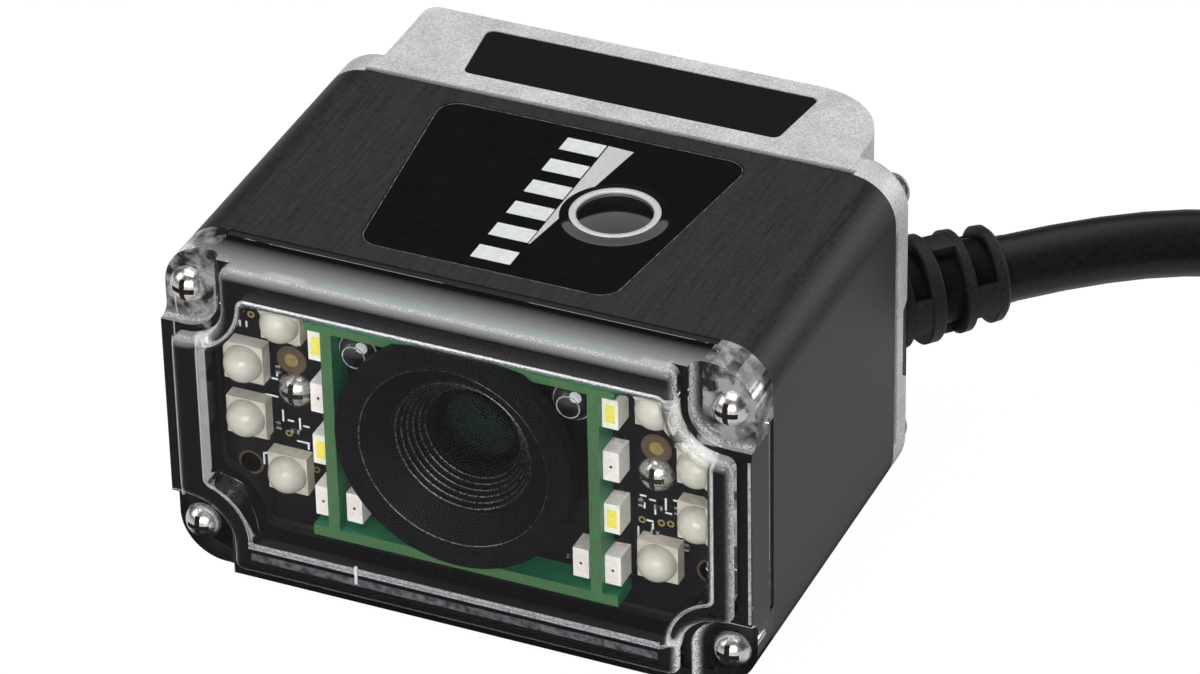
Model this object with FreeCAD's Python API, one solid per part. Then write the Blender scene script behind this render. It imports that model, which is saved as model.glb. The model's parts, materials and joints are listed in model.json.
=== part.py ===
"""Compact fixed-mount barcode reader: sleeve housing, clear window, optics, boards, cover and cable.

Millimetres. X runs to the reader's right, the window faces -Y, Z is up. The origin is the middle of the
bottom of the reader without its cable.
"""
import FreeCAD, Part
import math
import os

V = FreeCAD.Vector

# Sleeve: an extrusion with four screw ports in its corners
BODY_WIDTH = 44.5
BODY_HEIGHT = 26.5
CORNER_RADIUS = 3.5
SLEEVE_LENGTH = 22.8
SIDE_WALL = 1.6
TOP_WALL = 1.8
BOTTOM_WALL = 3.0
INNER_CORNER = 1.2
PORT_RADIUS = 2.3

# Screws of the window and the cover, on the corner ports
SCREW_INSET_X = 1.87
SCREW_INSET_Z = 3.215
SCREW_RADIUS = 0.97
SCREW_HEAD_RADIUS = 1.42
SCREW_HEAD_HEIGHT = 1.2
SCREW_GRIP = 5.0
THREAD_CLEARANCE = 0.03
SCREW_CLEARANCE = 0.13
RECESS_WIDTH = 0.4
RECESS_LENGTH = 1.7
RECESS_DEPTH = 0.6

# Front window: flange, raised box, hollow behind the pane
FRONT_GASKET = 0.7
FRONT_GASKET_INSET = 0.1
FRONT_PAD_WIDTH = 3.75
FRONT_PAD_HEIGHT = 5.4
FLANGE_THICK = 3.2
WINDOW_RISE = 1.2
PANE_THICK = 1.1
RAISE_INSET = 1.1
WINDOW_WALL = 1.6
EAR_THICK = 2.2
EAR_ROUND = 0.8
EAR_NOTCH = 2.75
RAISE_NOTCH = 3.3
HOLLOW_NOTCH = 4.2
NOTCH_ROUND = 0.75
WINDOW_ROUND = 0.7
HOLLOW_ROUND = 0.5

# Rear cover: straight rim, taper to the back, a raised block on top and a 45 degree cable corner
REAR_GASKET = 0.6
REAR_GASKET_INSET = 0.35
COVER_DEPTH = 9.6
COVER_WALL = 1.8
COVER_RIM = 1.9
COVER_TAPER = 6.2
BACK_ROUND = 1.5
RIM_ROUND = 0.8
PAD_WIDTH = 3.25
PAD_HEIGHT = 4.2
BLOCK_HALF = 18.5
BLOCK_CORNER_LEFT = 1.0
BLOCK_CORNER_RIGHT = 6.0
COVER_SCREW_SEAT = 3.2
HEAD_CLEARANCE = 0.3

# Bare plate on the block, a trapezoid that widens to the back
PLATE_THICK = 0.45
PLATE_POCKET = 0.5
PLATE_FRONT_HALF = 12.2
PLATE_BACK_HALF = 13.0
PLATE_FRONT_SETBACK = 1.9
PLATE_LENGTH = 6.1
PLATE_CORNER = 0.6
SHEET_CLEARANCE = 0.06

# Status overlay on top of the sleeve, a trapezoid that widens to the back
OVERLAY_THICK = 0.35
OVERLAY_POCKET = 0.4
OVERLAY_FRONT_HALF = 9.6
OVERLAY_BACK_HALF = 12.0
OVERLAY_FRONT_SETBACK = 1.85
OVERLAY_LENGTH = 19.5
OVERLAY_CORNER = 1.6

# Six light windows in a row, fed by one moulded light guide
LIGHT_COUNT = 6
LIGHT_WIDTH = 3.0
LIGHT_LENGTH = 1.65
LIGHT_PITCH = 3.02
LIGHT_CENTRE_X = -0.1
LIGHT_FIRST_SETBACK = 4.0
LIGHT_CLEARANCE = 0.05
GUIDE_MARGIN = 0.5
GUIDE_END_MARGIN = 0.2
GUIDE_BAR = 0.8

# Push button beside the lights
BUTTON_X = 5.55
BUTTON_SETBACK = 11.8
BUTTON_RADIUS = 2.7
BUTTON_CLEARANCE = 0.05
BUTTON_DOME = 0.45
BUTTON_RIM_RADIUS = 3.35
BUTTON_RIM = 0.6
BUTTON_TRAVEL = 0.25
BUTTON_REST_GAP = 0.05

# Status board under the top wall, with the switch below the button
STATUS_BOARD_THICK = 0.8
STATUS_BOARD_DROP = 2.0
STATUS_BOARD_LEFT = -4.0
STATUS_BOARD_RIGHT = 10.0
STATUS_BOARD_END_GAP = 1.6
SWITCH_SIZE = 3.0
SWITCH_HEIGHT = 0.8
PLUNGER_RADIUS = 0.7
PLUNGER_CLEARANCE = 0.05
PLUNGER_DEPTH = 0.35
WELL_GAP = 0.1
STATUS_LED_X = 1.6
STATUS_LED_Y = 0.8
STATUS_LED_Z = 0.6

# LED board behind the window
OPTIC_GAP = 0.8
BOARD_THICK = 1.0
BOARD_CLEARANCE = 0.15
LED_BOARD_SETBACK = 0.1
DOMED_LED_SIZE = 3.05
DOMED_LED_HEIGHT = 1.1
DOME_RADIUS = 1.4
DOME_HEIGHT = 0.95
DOMED_DROP = 0.25
DOMED_INNER_X = 14.2
DOMED_OUTER_X = 17.25
DOMED_INNER_RISE = 6.35
DOMED_OUTER_RISE = 2.3
SMALL_LED_WIDTH = 1.2
SMALL_LED_LENGTH = 2.4
SMALL_LED_HEIGHT = 1.8
SMALL_LED_X = 11.12
SMALL_LED_ROWS = 4
SMALL_LED_CEILING = 0.4
SMALL_LED_FLOOR = 0.55
LOW_LED_X = 8.7
BOARD_SCREW_X = 13.75
BOARD_SCREW_HEAD = 1.38
BOARD_SCREW_HEIGHT = 1.0
BOARD_SCREW_RADIUS = 0.77
BOARD_HOLE_X = 17.65
BOARD_HOLE_DROP = 7.2
BOARD_HOLE_RADIUS = 0.8

# Baffle box of four thin boards around the lens
BAFFLE_THICK = 0.85
BAFFLE_DEPTH = 2.35
BAFFLE_INNER_HALF = 9.65
BAFFLE_HALF_WIDTH = 11.7
BAFFLE_FLOOR_GAP = 1.2
BAFFLE_ABOVE = 7.0
AIM_LED_RADIUS = 1.5
AIM_LED_LENGTH = 2.3
AIM_LED_GAP_X = 0.05
AIM_LED_GAP_Z = 0.15

# Lens holder with a wide front ring, barrel with stepped bore, two lenses
RING_CLEARANCE = 0.3
RING_THICK = 1.25
RING_WALL = 1.8
RING_GAP = 0.1
CONE_DEPTH = 1.7
HOLDER_RADIUS = 6.6
HOLDER_BORE = 5.5
HOLDER_FIT = 0.05
BARREL_LENGTH = 7.0
BARREL_STEPS = 6
STEP_INWARD = 0.3
STEP_DEEP = 0.34
LENS_RADIUS = 3.4
LENS_THICK = 1.6
LENS_BULGE = 0.7
APERTURE_RADIUS = 2.4

# Boards and frame behind the LED board
FRAME_THICK = 1.8
PILLAR_INSET = 6.25
PILLAR_RISE = 3.0
PILLAR_ABOVE = 4.8
PILLAR_RADIUS = 1.7
SENSOR_SETBACK = 9.0
BOARD_SPACING = 4.0
INNER_BOARD_INSET = 4.35
INNER_BOARD_GAP = 1.0
LONG_SCREW_RADIUS = 0.8
LONG_SCREW_HEAD = 1.5
LONG_SCREW_HEIGHT = 1.1
LONG_SCREW_BITE = 4.0
LONG_SCREW_CLEARANCE = 0.1
SENSOR_WIDTH = 6.4
SENSOR_HEIGHT = 5.4
SENSOR_THICK = 1.2
STACK_CONNECTOR_WIDTH = 12.0
STACK_CONNECTOR_HEIGHT = 2.6
STACK_CONNECTOR_RISE = 1.0
HEADER_WIDTH = 9.0
HEADER_HEIGHT = 4.0
HEADER_DEPTH = 3.5
HEADER_RISE = 5.0

# Blind threaded holes in the bottom for a bracket
MOUNT_SPACING_X = 30.0
MOUNT_SPACING_Y = 12.0
MOUNT_HOLE_RADIUS = 1.025
MOUNT_HOLE_DEPTH = 2.4

# Strain relief through the right rear corner
RELIEF_DROP = 1.15
RELIEF_BLOCK_WIDTH = 12.0
RELIEF_BLOCK_TALL = 9.4
RELIEF_CHAMFER = 2.0
RELIEF_BLOCK_DEEP = 5.0
RELIEF_CLEARANCE = 0.05
BOOT_LENGTH = 7.2
BOOT_BASE_RADIUS = 3.95
BOOT_END_RADIUS = 3.45
BOOT_ROUND = 0.4
BOOT_INSET = 1.61
BOOT_GROOVE_START = 2.5
BOOT_GROOVE_WIDTH = 1.5
BOOT_SLOT_START = 4.85
BOOT_SLOT_WIDTH = 1.3
BOOT_CORE_RADIUS = 2.75
BOOT_WEB = 2.4

# Cable: free run, coil held by a tie, tail with a round screw connector. In X and Y the free run's points
# and the coil are placed from the boot's end, and the tail's points from the coil's middle
CABLE_RADIUS = 2.5
ARC_SHARE = 0.45
CABLE_STRAIGHT = 12.26
COIL_OFFSET = V(56.3, -7.5, 0)
COIL_MID_RADIUS = 27.5
COIL_BASE = 1.2
COIL_ROUND = 2.4
TIE_THICK = 1.0
TIE_ANGLE = 8.0
TIE_PLACE = 300.0
TIE_CLEARANCE = 0.05
CABLE_POINTS = [
    V(21.3, 17.0, 7.8),
    V(36.8, 21.5, 4.0),
    V(53.7, 22.4, 3.7),
]
TAIL_POINTS = [
    V(14.3, 26.4, 8.7),
    V(26.6, 19.7, 8.5),
    V(38.5, 10.4, 7.5),
    V(48.0, -0.6, 7.5),
]
GRIP_LENGTH = 24.0
GRIP_RADIUS = 6.2
GRIP_NECK = 3.6
GRIP_NECK_LENGTH = 8.0
NUT_RADIUS = 7.2
NUT_LENGTH = 13.0
NUT_FLUTES = 12
NUT_FLUTE_RADIUS = 1.1
NUT_RUNNING_FIT = 0.08
NUT_END_PLAY = 0.3
SPIGOT_RADIUS = 4.2
COLLAR_RADIUS = 5.2
COLLAR_LENGTH = 2.0
SHELL_WALL = 0.5
SHELL_DEPTH = 6.0
CONTACT_COUNT = 12
CONTACT_RADIUS = 0.4
CONTACT_CIRCLE = 2.5

# Planes along Y, from the window to the back
TOTAL_DEPTH = WINDOW_RISE + FLANGE_THICK + FRONT_GASKET + SLEEVE_LENGTH + REAR_GASKET + COVER_DEPTH
Y_WINDOW = -TOTAL_DEPTH / 2
Y_FLANGE = Y_WINDOW + WINDOW_RISE
Y_GASKET = Y_FLANGE + FLANGE_THICK
Y_SLEEVE = Y_GASKET + FRONT_GASKET
Y_SLEEVE_END = Y_SLEEVE + SLEEVE_LENGTH
Y_COVER = Y_SLEEVE_END + REAR_GASKET
Y_BACK = Y_COVER + COVER_DEPTH
Y_EAR = Y_GASKET - EAR_THICK
Y_LED_BOARD = Y_SLEEVE + LED_BOARD_SETBACK
Y_FRAME = Y_LED_BOARD + BOARD_THICK
Y_BAFFLE = Y_LED_BOARD - BAFFLE_DEPTH
Y_RING_BACK = Y_BAFFLE - RING_GAP
Y_RING = Y_RING_BACK - RING_THICK
Y_BARREL = Y_RING + CONE_DEPTH
Y_SENSOR_BOARD = Y_SLEEVE + SENSOR_SETBACK
Y_PROCESSOR_BOARD = Y_SENSOR_BOARD + BOARD_THICK + BOARD_SPACING

# Levels along Z and half sizes
HALF_WIDTH = BODY_WIDTH / 2
MID_HEIGHT = BODY_HEIGHT / 2
Z_CEILING = BODY_HEIGHT - TOP_WALL
Z_OVERLAY = BODY_HEIGHT - OVERLAY_POCKET + OVERLAY_THICK
Z_STATUS_TOP = Z_CEILING - STATUS_BOARD_DROP
Z_STATUS = Z_STATUS_TOP - STATUS_BOARD_THICK
OPTIC_HEIGHT = Z_STATUS - OPTIC_GAP - HOLDER_RADIUS
BAFFLE_LOW = BOTTOM_WALL + BAFFLE_FLOOR_GAP + BAFFLE_THICK
BAFFLE_HIGH = OPTIC_HEIGHT + BAFFLE_ABOVE
AIM_LED_X = BAFFLE_INNER_HALF - AIM_LED_GAP_X - AIM_LED_RADIUS
AIM_LED_HEIGHT = BAFFLE_HIGH - AIM_LED_GAP_Z - AIM_LED_RADIUS
RING_RADIUS = BODY_HEIGHT - RAISE_INSET - WINDOW_WALL - RING_CLEARANCE - OPTIC_HEIGHT
RING_BORE = RING_RADIUS - RING_WALL
RELIEF_HEIGHT = MID_HEIGHT - RELIEF_DROP
INNER_BOARD_HALF = HALF_WIDTH - INNER_BOARD_INSET
INNER_BOARD_LOW = BOTTOM_WALL + INNER_BOARD_GAP
STACK_CONNECTOR_LOW = INNER_BOARD_LOW + STACK_CONNECTOR_RISE
HEADER_LOW = INNER_BOARD_LOW + HEADER_RISE
Z_BUTTON_RIM = Z_CEILING - BUTTON_REST_GAP - BUTTON_RIM
SCREW_HOLE = SCREW_RADIUS + THREAD_CLEARANCE
SCREW_PASS = SCREW_RADIUS + SCREW_CLEARANCE
PORTS = [
    (side * (HALF_WIDTH - SCREW_INSET_X), MID_HEIGHT + rise * (MID_HEIGHT - SCREW_INSET_Z))
    for side in (-1, 1)
    for rise in (-1, 1)
]
PILLARS = [
    (side * (HALF_WIDTH - PILLAR_INSET), z)
    for side in (-1, 1)
    for z in (INNER_BOARD_LOW + PILLAR_RISE, OPTIC_HEIGHT + PILLAR_ABOVE)
]
LIGHTS = [Y_SLEEVE + LIGHT_FIRST_SETBACK + LIGHT_PITCH * i for i in range(LIGHT_COUNT)]
DIAGONAL = math.sqrt(0.5)
CORNER_REACH = -BOOT_INSET
BOOT_REACH = CORNER_REACH + BOOT_LENGTH * DIAGONAL
BOOT_END = V(HALF_WIDTH + BOOT_REACH, Y_BACK + BOOT_REACH, RELIEF_HEIGHT)
COIL_CENTRE = V(BOOT_END.x, BOOT_END.y, 0).add(COIL_OFFSET)
CONNECTOR_START = COIL_CENTRE.add(TAIL_POINTS[-1])


def box(x0, x1, y0, y1, z0, z1):
    """Box between two opposite corners, given axis by axis."""
    return Part.makeBox(x1 - x0, y1 - y0, z1 - z0, V(x0, y0, z0))


def rod(x, z, radius, y0, y1):
    """Cylinder along Y."""
    return Part.makeCylinder(radius, y1 - y0, V(x, y0, z), V(0, 1, 0))


def post(x, y, radius, z0, z1):
    """Cylinder along Z."""
    return Part.makeCylinder(radius, z1 - z0, V(x, y, z0))


def rounded_face(corners, radius, place):
    """Face of a polygon with rounded corners; place turns two plane coordinates into a point."""
    radii = radius if isinstance(radius, list) else [radius] * len(corners)
    count = len(corners)
    starts, mids, ends = [], [], []
    for i, (a, b) in enumerate(corners):
        here = V(a, b, 0)
        back = V(*corners[i - 1], 0).sub(here).normalize()
        ahead = V(*corners[(i + 1) % count], 0).sub(here).normalize()
        half = back.getAngle(ahead) / 2
        reach = radii[i] / math.tan(half)
        inward = back.add(ahead).normalize()
        starts.append(here.add(back * reach))
        ends.append(here.add(ahead * reach))
        mids.append(here.add(inward * (radii[i] / math.sin(half) - radii[i])))
    edges = []
    for i in range(count):
        if radii[i] > 0:
            arc = Part.Arc(*[place(p.x, p.y) for p in (starts[i], mids[i], ends[i])])
            edges.append(arc.toShape())
        after = starts[(i + 1) % count]
        if ends[i].distanceToPoint(after) > 1e-6:
            edges.append(Part.LineSegment(place(ends[i].x, ends[i].y), place(after.x, after.y)).toShape())
    return Part.Face(Part.Wire(edges))


def rectangle(a0, a1, b0, b1):
    """Corners of a rectangle in order."""
    return [(a0, b0), (a1, b0), (a1, b1), (a0, b1)]


def body_slab(inset, y0, y1):
    """Slab with the reader's front outline, drawn in by an inset."""
    corners = rectangle(inset - HALF_WIDTH, HALF_WIDTH - inset, inset, BODY_HEIGHT - inset)
    face = rounded_face(corners, CORNER_RADIUS - inset, lambda a, b: V(a, y0, b))
    return face.extrude(V(0, y1 - y0, 0))


def corner_notch(x, z, radius, y0, y1):
    """Corner cut around a screw, round towards the middle and open to both outsides."""
    side = math.copysign(1, x)
    rise = math.copysign(1, z - MID_HEIGHT)
    out_x = side * BODY_WIDTH
    out_z = MID_HEIGHT + rise * BODY_HEIGHT
    near_x = sorted((x, out_x))
    near_z = sorted((z - rise * radius, out_z))
    far_x = sorted((x - side * radius, out_x))
    far_z = sorted((z, out_z))
    notch = rod(x, z, radius, y0, y1)
    notch = notch.fuse(box(*near_x, y0, y1, *near_z))
    return notch.fuse(box(*far_x, y0, y1, *far_z))


def notched_slab(inset, top_inset, radius, y0, y1):
    """Slab with the front outline drawn in and notched around the four screws."""
    corners = rectangle(inset - HALF_WIDTH, HALF_WIDTH - inset, inset, BODY_HEIGHT - top_inset)
    slab = rounded_face(corners, 0, lambda a, b: V(a, y0, b)).extrude(V(0, y1 - y0, 0))
    slab = slab.cut([corner_notch(x, z, radius, y0, y1) for x, z in PORTS]).removeSplitter()
    return slab.makeFillet(NOTCH_ROUND, [e for e in slab.Edges if is_upright_corner(slab, e)])


def is_upright_corner(shape, edge):
    """Whether an edge runs along Y between two faces that meet at an angle."""
    span = edge.BoundBox
    if span.XLength > 1e-4 or span.ZLength > 1e-4:
        return False
    first, second = shape.ancestorsOfType(edge, Part.Face)
    point = span.Center
    normals = [face.normalAt(*face.Surface.parameter(point)) for face in (first, second)]
    return normals[0].getAngle(normals[1]) > 0.1


def edges_at_y(shape, y):
    """Edges that lie in a plane across Y."""
    return [e for e in shape.Edges if abs(e.BoundBox.YMin - y) < 1e-4 and abs(e.BoundBox.YMax - y) < 1e-4]


def revolved(profile, angle=360):
    """Solid of an x-radius profile turned about the X axis."""
    points = [V(x, r, 0) for x, r in profile]
    face = Part.Face(Part.makePolygon(points + points[:1]))
    return face.revolve(V(0, 0, 0), V(1, 0, 0), angle)


def optic(shape):
    """Turns a solid made along X to point into the reader, on the optical axis."""
    turned = shape.copy()
    turned.rotate(V(0, 0, 0), V(0, 0, 1), 90)
    turned.translate(V(0, 0, OPTIC_HEIGHT))
    return turned


def cross_recess(depth):
    """Cross recess at the origin, cut along X down to a depth."""
    half_length = RECESS_LENGTH / 2
    half_width = RECESS_WIDTH / 2
    bar = box(-depth, depth, -half_length, half_length, -half_width, half_width)
    other = bar.copy()
    other.rotate(V(0, 0, 0), V(1, 0, 0), 90)
    return bar.fuse(other)


def pan_screw(head_radius, head_height, radius, length):
    """Pan-head cross-recess screw along X, head seat at the origin, head towards -X."""
    sphere_radius = (head_radius ** 2 + head_height ** 2) / (2 * head_height)
    head = Part.makeSphere(sphere_radius, V(sphere_radius - head_height, 0, 0))
    head = head.common(Part.makeCylinder(head_radius, head_height, V(-head_height, 0, 0), V(1, 0, 0)))
    recess = cross_recess(RECESS_DEPTH)
    recess.translate(V(-head_height, 0, 0))
    shank = Part.makeCylinder(radius, length, V(0, 0, 0), V(1, 0, 0))
    return head.cut(recess).fuse(shank)


def screw_at(screw, x, y, z, forward):
    """Copy of a screw with its seat at a point, driven along +Y or -Y."""
    placed = screw.copy()
    placed.rotate(V(0, 0, 0), V(0, 0, 1), 90 if forward else -90)
    placed.translate(V(x, y, z))
    return placed


def trapezoid(front_half, back_half, y0, length):
    """Corners of a trapezoid that is symmetric in X."""
    return [(-front_half, y0), (front_half, y0), (back_half, y0 + length), (-back_half, y0 + length)]


def overlay_sheet(grow, z0, z1):
    """Sheet with the overlay's outline, grown by a clearance."""
    y0 = Y_SLEEVE + OVERLAY_FRONT_SETBACK
    halves = OVERLAY_FRONT_HALF + grow, OVERLAY_BACK_HALF + grow
    corners = trapezoid(*halves, y0 - grow, OVERLAY_LENGTH + 2 * grow)
    return rounded_face(corners, OVERLAY_CORNER, lambda a, b: V(a, b, z0)).extrude(V(0, 0, z1 - z0))


def plate_sheet(grow, z0, z1):
    """Sheet with the block plate's outline, grown by a clearance."""
    y0 = Y_COVER + PLATE_FRONT_SETBACK
    halves = PLATE_FRONT_HALF + grow, PLATE_BACK_HALF + grow
    corners = trapezoid(*halves, y0 - grow, PLATE_LENGTH + 2 * grow)
    return rounded_face(corners, PLATE_CORNER, lambda a, b: V(a, b, z0)).extrude(V(0, 0, z1 - z0))


def light_prongs(grow, z0, z1):
    """The row of light windows as blocks, grown by a clearance."""
    left = LIGHT_CENTRE_X - LIGHT_WIDTH / 2 - grow
    right = LIGHT_CENTRE_X + LIGHT_WIDTH / 2 + grow
    half_y = LIGHT_LENGTH / 2 + grow
    return [box(left, right, y - half_y, y + half_y, z0, z1) for y in LIGHTS]


def interior(y0, y1, clearance):
    """Filling of the sleeve's inside between two planes, clear of walls and screw ports."""
    corners = rectangle(
        SIDE_WALL - HALF_WIDTH + clearance,
        HALF_WIDTH - SIDE_WALL - clearance,
        BOTTOM_WALL + clearance,
        Z_CEILING - clearance,
    )
    filling = rounded_face(corners, INNER_CORNER, lambda a, b: V(a, y0, b)).extrude(V(0, y1 - y0, 0))
    return filling.cut([rod(x, z, PORT_RADIUS + clearance, y0, y1) for x, z in PORTS])


def housing_sleeve():
    """Extruded housing with screw ports, overlay pocket, light and button openings and bottom holes."""
    sleeve = body_slab(0, Y_SLEEVE, Y_SLEEVE_END).cut(interior(Y_SLEEVE, Y_SLEEVE_END, 0))
    cuts = [rod(x, z, SCREW_HOLE, Y_SLEEVE, Y_SLEEVE_END) for x, z in PORTS]
    cuts.append(overlay_sheet(SHEET_CLEARANCE, BODY_HEIGHT - OVERLAY_POCKET, BODY_HEIGHT))
    cuts += light_prongs(LIGHT_CLEARANCE, Z_CEILING, BODY_HEIGHT)
    cuts.append(button_bore(Z_CEILING, BODY_HEIGHT))
    middle = (Y_SLEEVE + Y_SLEEVE_END) / 2
    for side in (-1, 1):
        for end in (-1, 1):
            x = side * MOUNT_SPACING_X / 2
            y = middle + end * MOUNT_SPACING_Y / 2
            cuts.append(post(x, y, MOUNT_HOLE_RADIUS, 0, MOUNT_HOLE_DEPTH))
    return sleeve.cut(cuts)


def button_bore(z0, z1):
    """Bore that the button slides in."""
    return post(BUTTON_X, Y_SLEEVE + BUTTON_SETBACK, BUTTON_RADIUS + BUTTON_CLEARANCE, z0, z1)


def front_window():
    """Clear moulding: flange with screw ears, raised box flush at the top, hollow behind the pane."""
    flange = body_slab(0, Y_FLANGE, Y_GASKET)
    ears = [corner_notch(x, z, EAR_NOTCH, Y_FLANGE, Y_EAR) for x, z in PORTS]
    flange = flange.cut([ear.makeFillet(EAR_ROUND, edges_at_y(ear, Y_EAR)) for ear in ears])
    raised = notched_slab(RAISE_INSET, 0, RAISE_NOTCH, Y_WINDOW, Y_FLANGE)
    raised = raised.makeFillet(WINDOW_ROUND, edges_at_y(raised, Y_WINDOW))
    pane = Y_WINDOW + PANE_THICK
    hollow = window_hollow(pane, Y_GASKET)
    hollow = hollow.makeFillet(HOLLOW_ROUND, edges_at_y(hollow, pane))
    slab = body_slab(0, Y_GASKET, Y_SLEEVE)
    pads = [slab.common(pad) for pad in front_pads(0)]
    moulding = flange.fuse([raised] + pads).cut(hollow)
    moulding = moulding.cut([rod(x, z, SCREW_PASS, Y_EAR, Y_SLEEVE) for x, z in PORTS])
    return moulding.removeSplitter()


def window_hollow(y0, y1):
    """Opening behind the pane, which goes on through the gasket."""
    inset = RAISE_INSET + WINDOW_WALL
    return notched_slab(inset, inset, HOLLOW_NOTCH, y0, y1)


def front_pads(grow):
    """Blocks at the four corners where the window reaches through the gasket to the sleeve."""
    return corner_pads(FRONT_PAD_WIDTH + grow, FRONT_PAD_HEIGHT + grow, Y_GASKET, Y_SLEEVE)


def front_gasket():
    """Flat seal between the window flange and the sleeve, cut square at the corners."""
    seal = body_slab(FRONT_GASKET_INSET, Y_GASKET, Y_SLEEVE)
    seal = seal.cut(window_hollow(Y_GASKET, Y_SLEEVE))
    return seal.cut(front_pads(SHEET_CLEARANCE))


def window_screws():
    """Four screws that hold the window on the sleeve."""
    length = Y_SLEEVE - Y_EAR + SCREW_GRIP
    screw = pan_screw(SCREW_HEAD_RADIUS, SCREW_HEAD_HEIGHT, SCREW_RADIUS, length)
    return Part.Compound([screw_at(screw, x, Y_EAR, z, True) for x, z in PORTS])


def cover_screws():
    """Four screws that hold the cover on the sleeve, sunk in the back corners."""
    seat = Y_COVER + COVER_SCREW_SEAT
    length = seat - Y_SLEEVE_END + SCREW_GRIP
    screw = pan_screw(SCREW_HEAD_RADIUS, SCREW_HEAD_HEIGHT, SCREW_RADIUS, length)
    return Part.Compound([screw_at(screw, x, seat, z, False) for x, z in PORTS])


def cover_section(inset, radius, y):
    """Outline of the cover at a plane across Y, drawn in by an inset."""
    corners = rectangle(inset - HALF_WIDTH, HALF_WIDTH - inset, inset, BODY_HEIGHT - inset)
    return rounded_face(corners, radius, lambda a, b: V(a, y, b)).OuterWire


def cover_body(inset):
    """Cover's outer form drawn in by an inset: a straight rim, then a taper to the back."""
    rim = Y_COVER + COVER_RIM
    back = Y_BACK - inset
    drawn = inset + COVER_TAPER * (back - rim) / (Y_BACK - rim)
    form = body_slab(inset, Y_COVER, rim)
    radius = CORNER_RADIUS - inset
    taper = Part.makeLoft([cover_section(inset, radius, rim), cover_section(drawn, radius, back)], True)
    return form.fuse(taper).removeSplitter()


def cover_shell():
    """Cover's outer form with its back edges rounded."""
    form = cover_body(0)
    form = form.makeFillet(RIM_ROUND, edges_at_y(form, Y_COVER + COVER_RIM))
    return form.makeFillet(BACK_ROUND, edges_at_y(form, Y_BACK))


def corner_pads(wide, tall, y0, y1):
    """Blocks at the four corners of the outline, between two planes."""
    pads = []
    for x, z in PORTS:
        inner_x = math.copysign(HALF_WIDTH - wide, x)
        outer_x = math.copysign(HALF_WIDTH, x)
        rise = math.copysign(1, z - MID_HEIGHT)
        inner_z = MID_HEIGHT + rise * (MID_HEIGHT - tall)
        outer_z = MID_HEIGHT + rise * MID_HEIGHT
        spans = sorted((inner_x, outer_x)), sorted((inner_z, outer_z))
        pads.append(box(*spans[0], y0, y1, *spans[1]))
    return pads


def rear_pads(grow):
    """Blocks at the four corners where the cover reaches through the gasket to the sleeve."""
    return corner_pads(PAD_WIDTH + grow, PAD_HEIGHT + grow, Y_SLEEVE_END, Y_COVER)


def rear_cover():
    """Cast cover: rounded shell, block with plate pocket, screw bosses and cable corner."""
    outer = cover_shell()
    block_corners = rectangle(-BLOCK_HALF, BLOCK_HALF, Y_COVER, Y_BACK)
    block_radii = [0, 0, BLOCK_CORNER_RIGHT, BLOCK_CORNER_LEFT]
    plan = rounded_face(block_corners, block_radii, lambda a, b: V(a, b, 0))
    block_tall = COVER_TAPER + BACK_ROUND
    block = plan.extrude(V(0, 0, block_tall))
    block.translate(V(0, 0, BODY_HEIGHT - block_tall))
    bosses = [outer.common(rod(x, z, PORT_RADIUS, Y_COVER, Y_BACK)) for x, z in PORTS]
    rim = body_slab(0, Y_SLEEVE_END, Y_COVER).cut(interior(Y_SLEEVE_END, Y_COVER, 0))
    pads = [rim.common(pad) for pad in rear_pads(0)]
    cover = outer.fuse(block).cut(cover_body(COVER_WALL)).fuse(bosses + pads)
    seat = Y_COVER + COVER_SCREW_SEAT
    cuts = [rod(x, z, SCREW_PASS, Y_SLEEVE_END, seat) for x, z in PORTS]
    cuts += [rod(x, z, SCREW_HEAD_RADIUS + HEAD_CLEARANCE, seat, Y_BACK) for x, z in PORTS]
    cuts.append(plate_sheet(SHEET_CLEARANCE, BODY_HEIGHT - PLATE_POCKET, BODY_HEIGHT))
    cuts.append(relief_prism(RELIEF_CLEARANCE))
    return cover.cut(cuts).removeSplitter()


def rear_gasket():
    """Flat seal between sleeve and cover, seen between the cover's corner pads."""
    seal = body_slab(REAR_GASKET_INSET, Y_SLEEVE_END, Y_COVER)
    seal = seal.cut(interior(Y_SLEEVE_END, Y_COVER, 0))
    return seal.cut(rear_pads(SHEET_CLEARANCE))


def relief_axis(shape):
    """Moves a solid made along X to the cable's 45 degree axis, its zero on the cover's corner."""
    placed = shape.copy()
    placed.rotate(V(0, 0, 0), V(0, 0, 1), 45)
    placed.translate(V(HALF_WIDTH + CORNER_REACH, Y_BACK + CORNER_REACH, RELIEF_HEIGHT))
    return placed


def relief_prism(grow):
    """Eight-sided plug form through the cover's corner."""
    half = RELIEF_BLOCK_WIDTH / 2 + grow
    tall = RELIEF_BLOCK_TALL / 2 + grow
    flat_y = half - RELIEF_CHAMFER
    flat_z = tall - RELIEF_CHAMFER
    corners = [
        (-half, -flat_z), (-flat_y, -tall), (flat_y, -tall), (half, -flat_z),
        (half, flat_z), (flat_y, tall), (-flat_y, tall), (-half, flat_z),
    ]
    start = -RELIEF_BLOCK_DEEP - grow
    face = rounded_face(corners, 0, lambda a, b: V(start, a, b))
    return relief_axis(face.extrude(V(RELIEF_BLOCK_DEEP + RELIEF_BLOCK_WIDTH, 0, 0)))


def boot_groove(x0, width):
    """Ring cut out of the boot down to its core."""
    ring = Part.makeCylinder(BOOT_BASE_RADIUS, width, V(x0, 0, 0), V(1, 0, 0))
    return ring.cut(Part.makeCylinder(BOOT_CORE_RADIUS, width, V(x0, 0, 0), V(1, 0, 0)))


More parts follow.
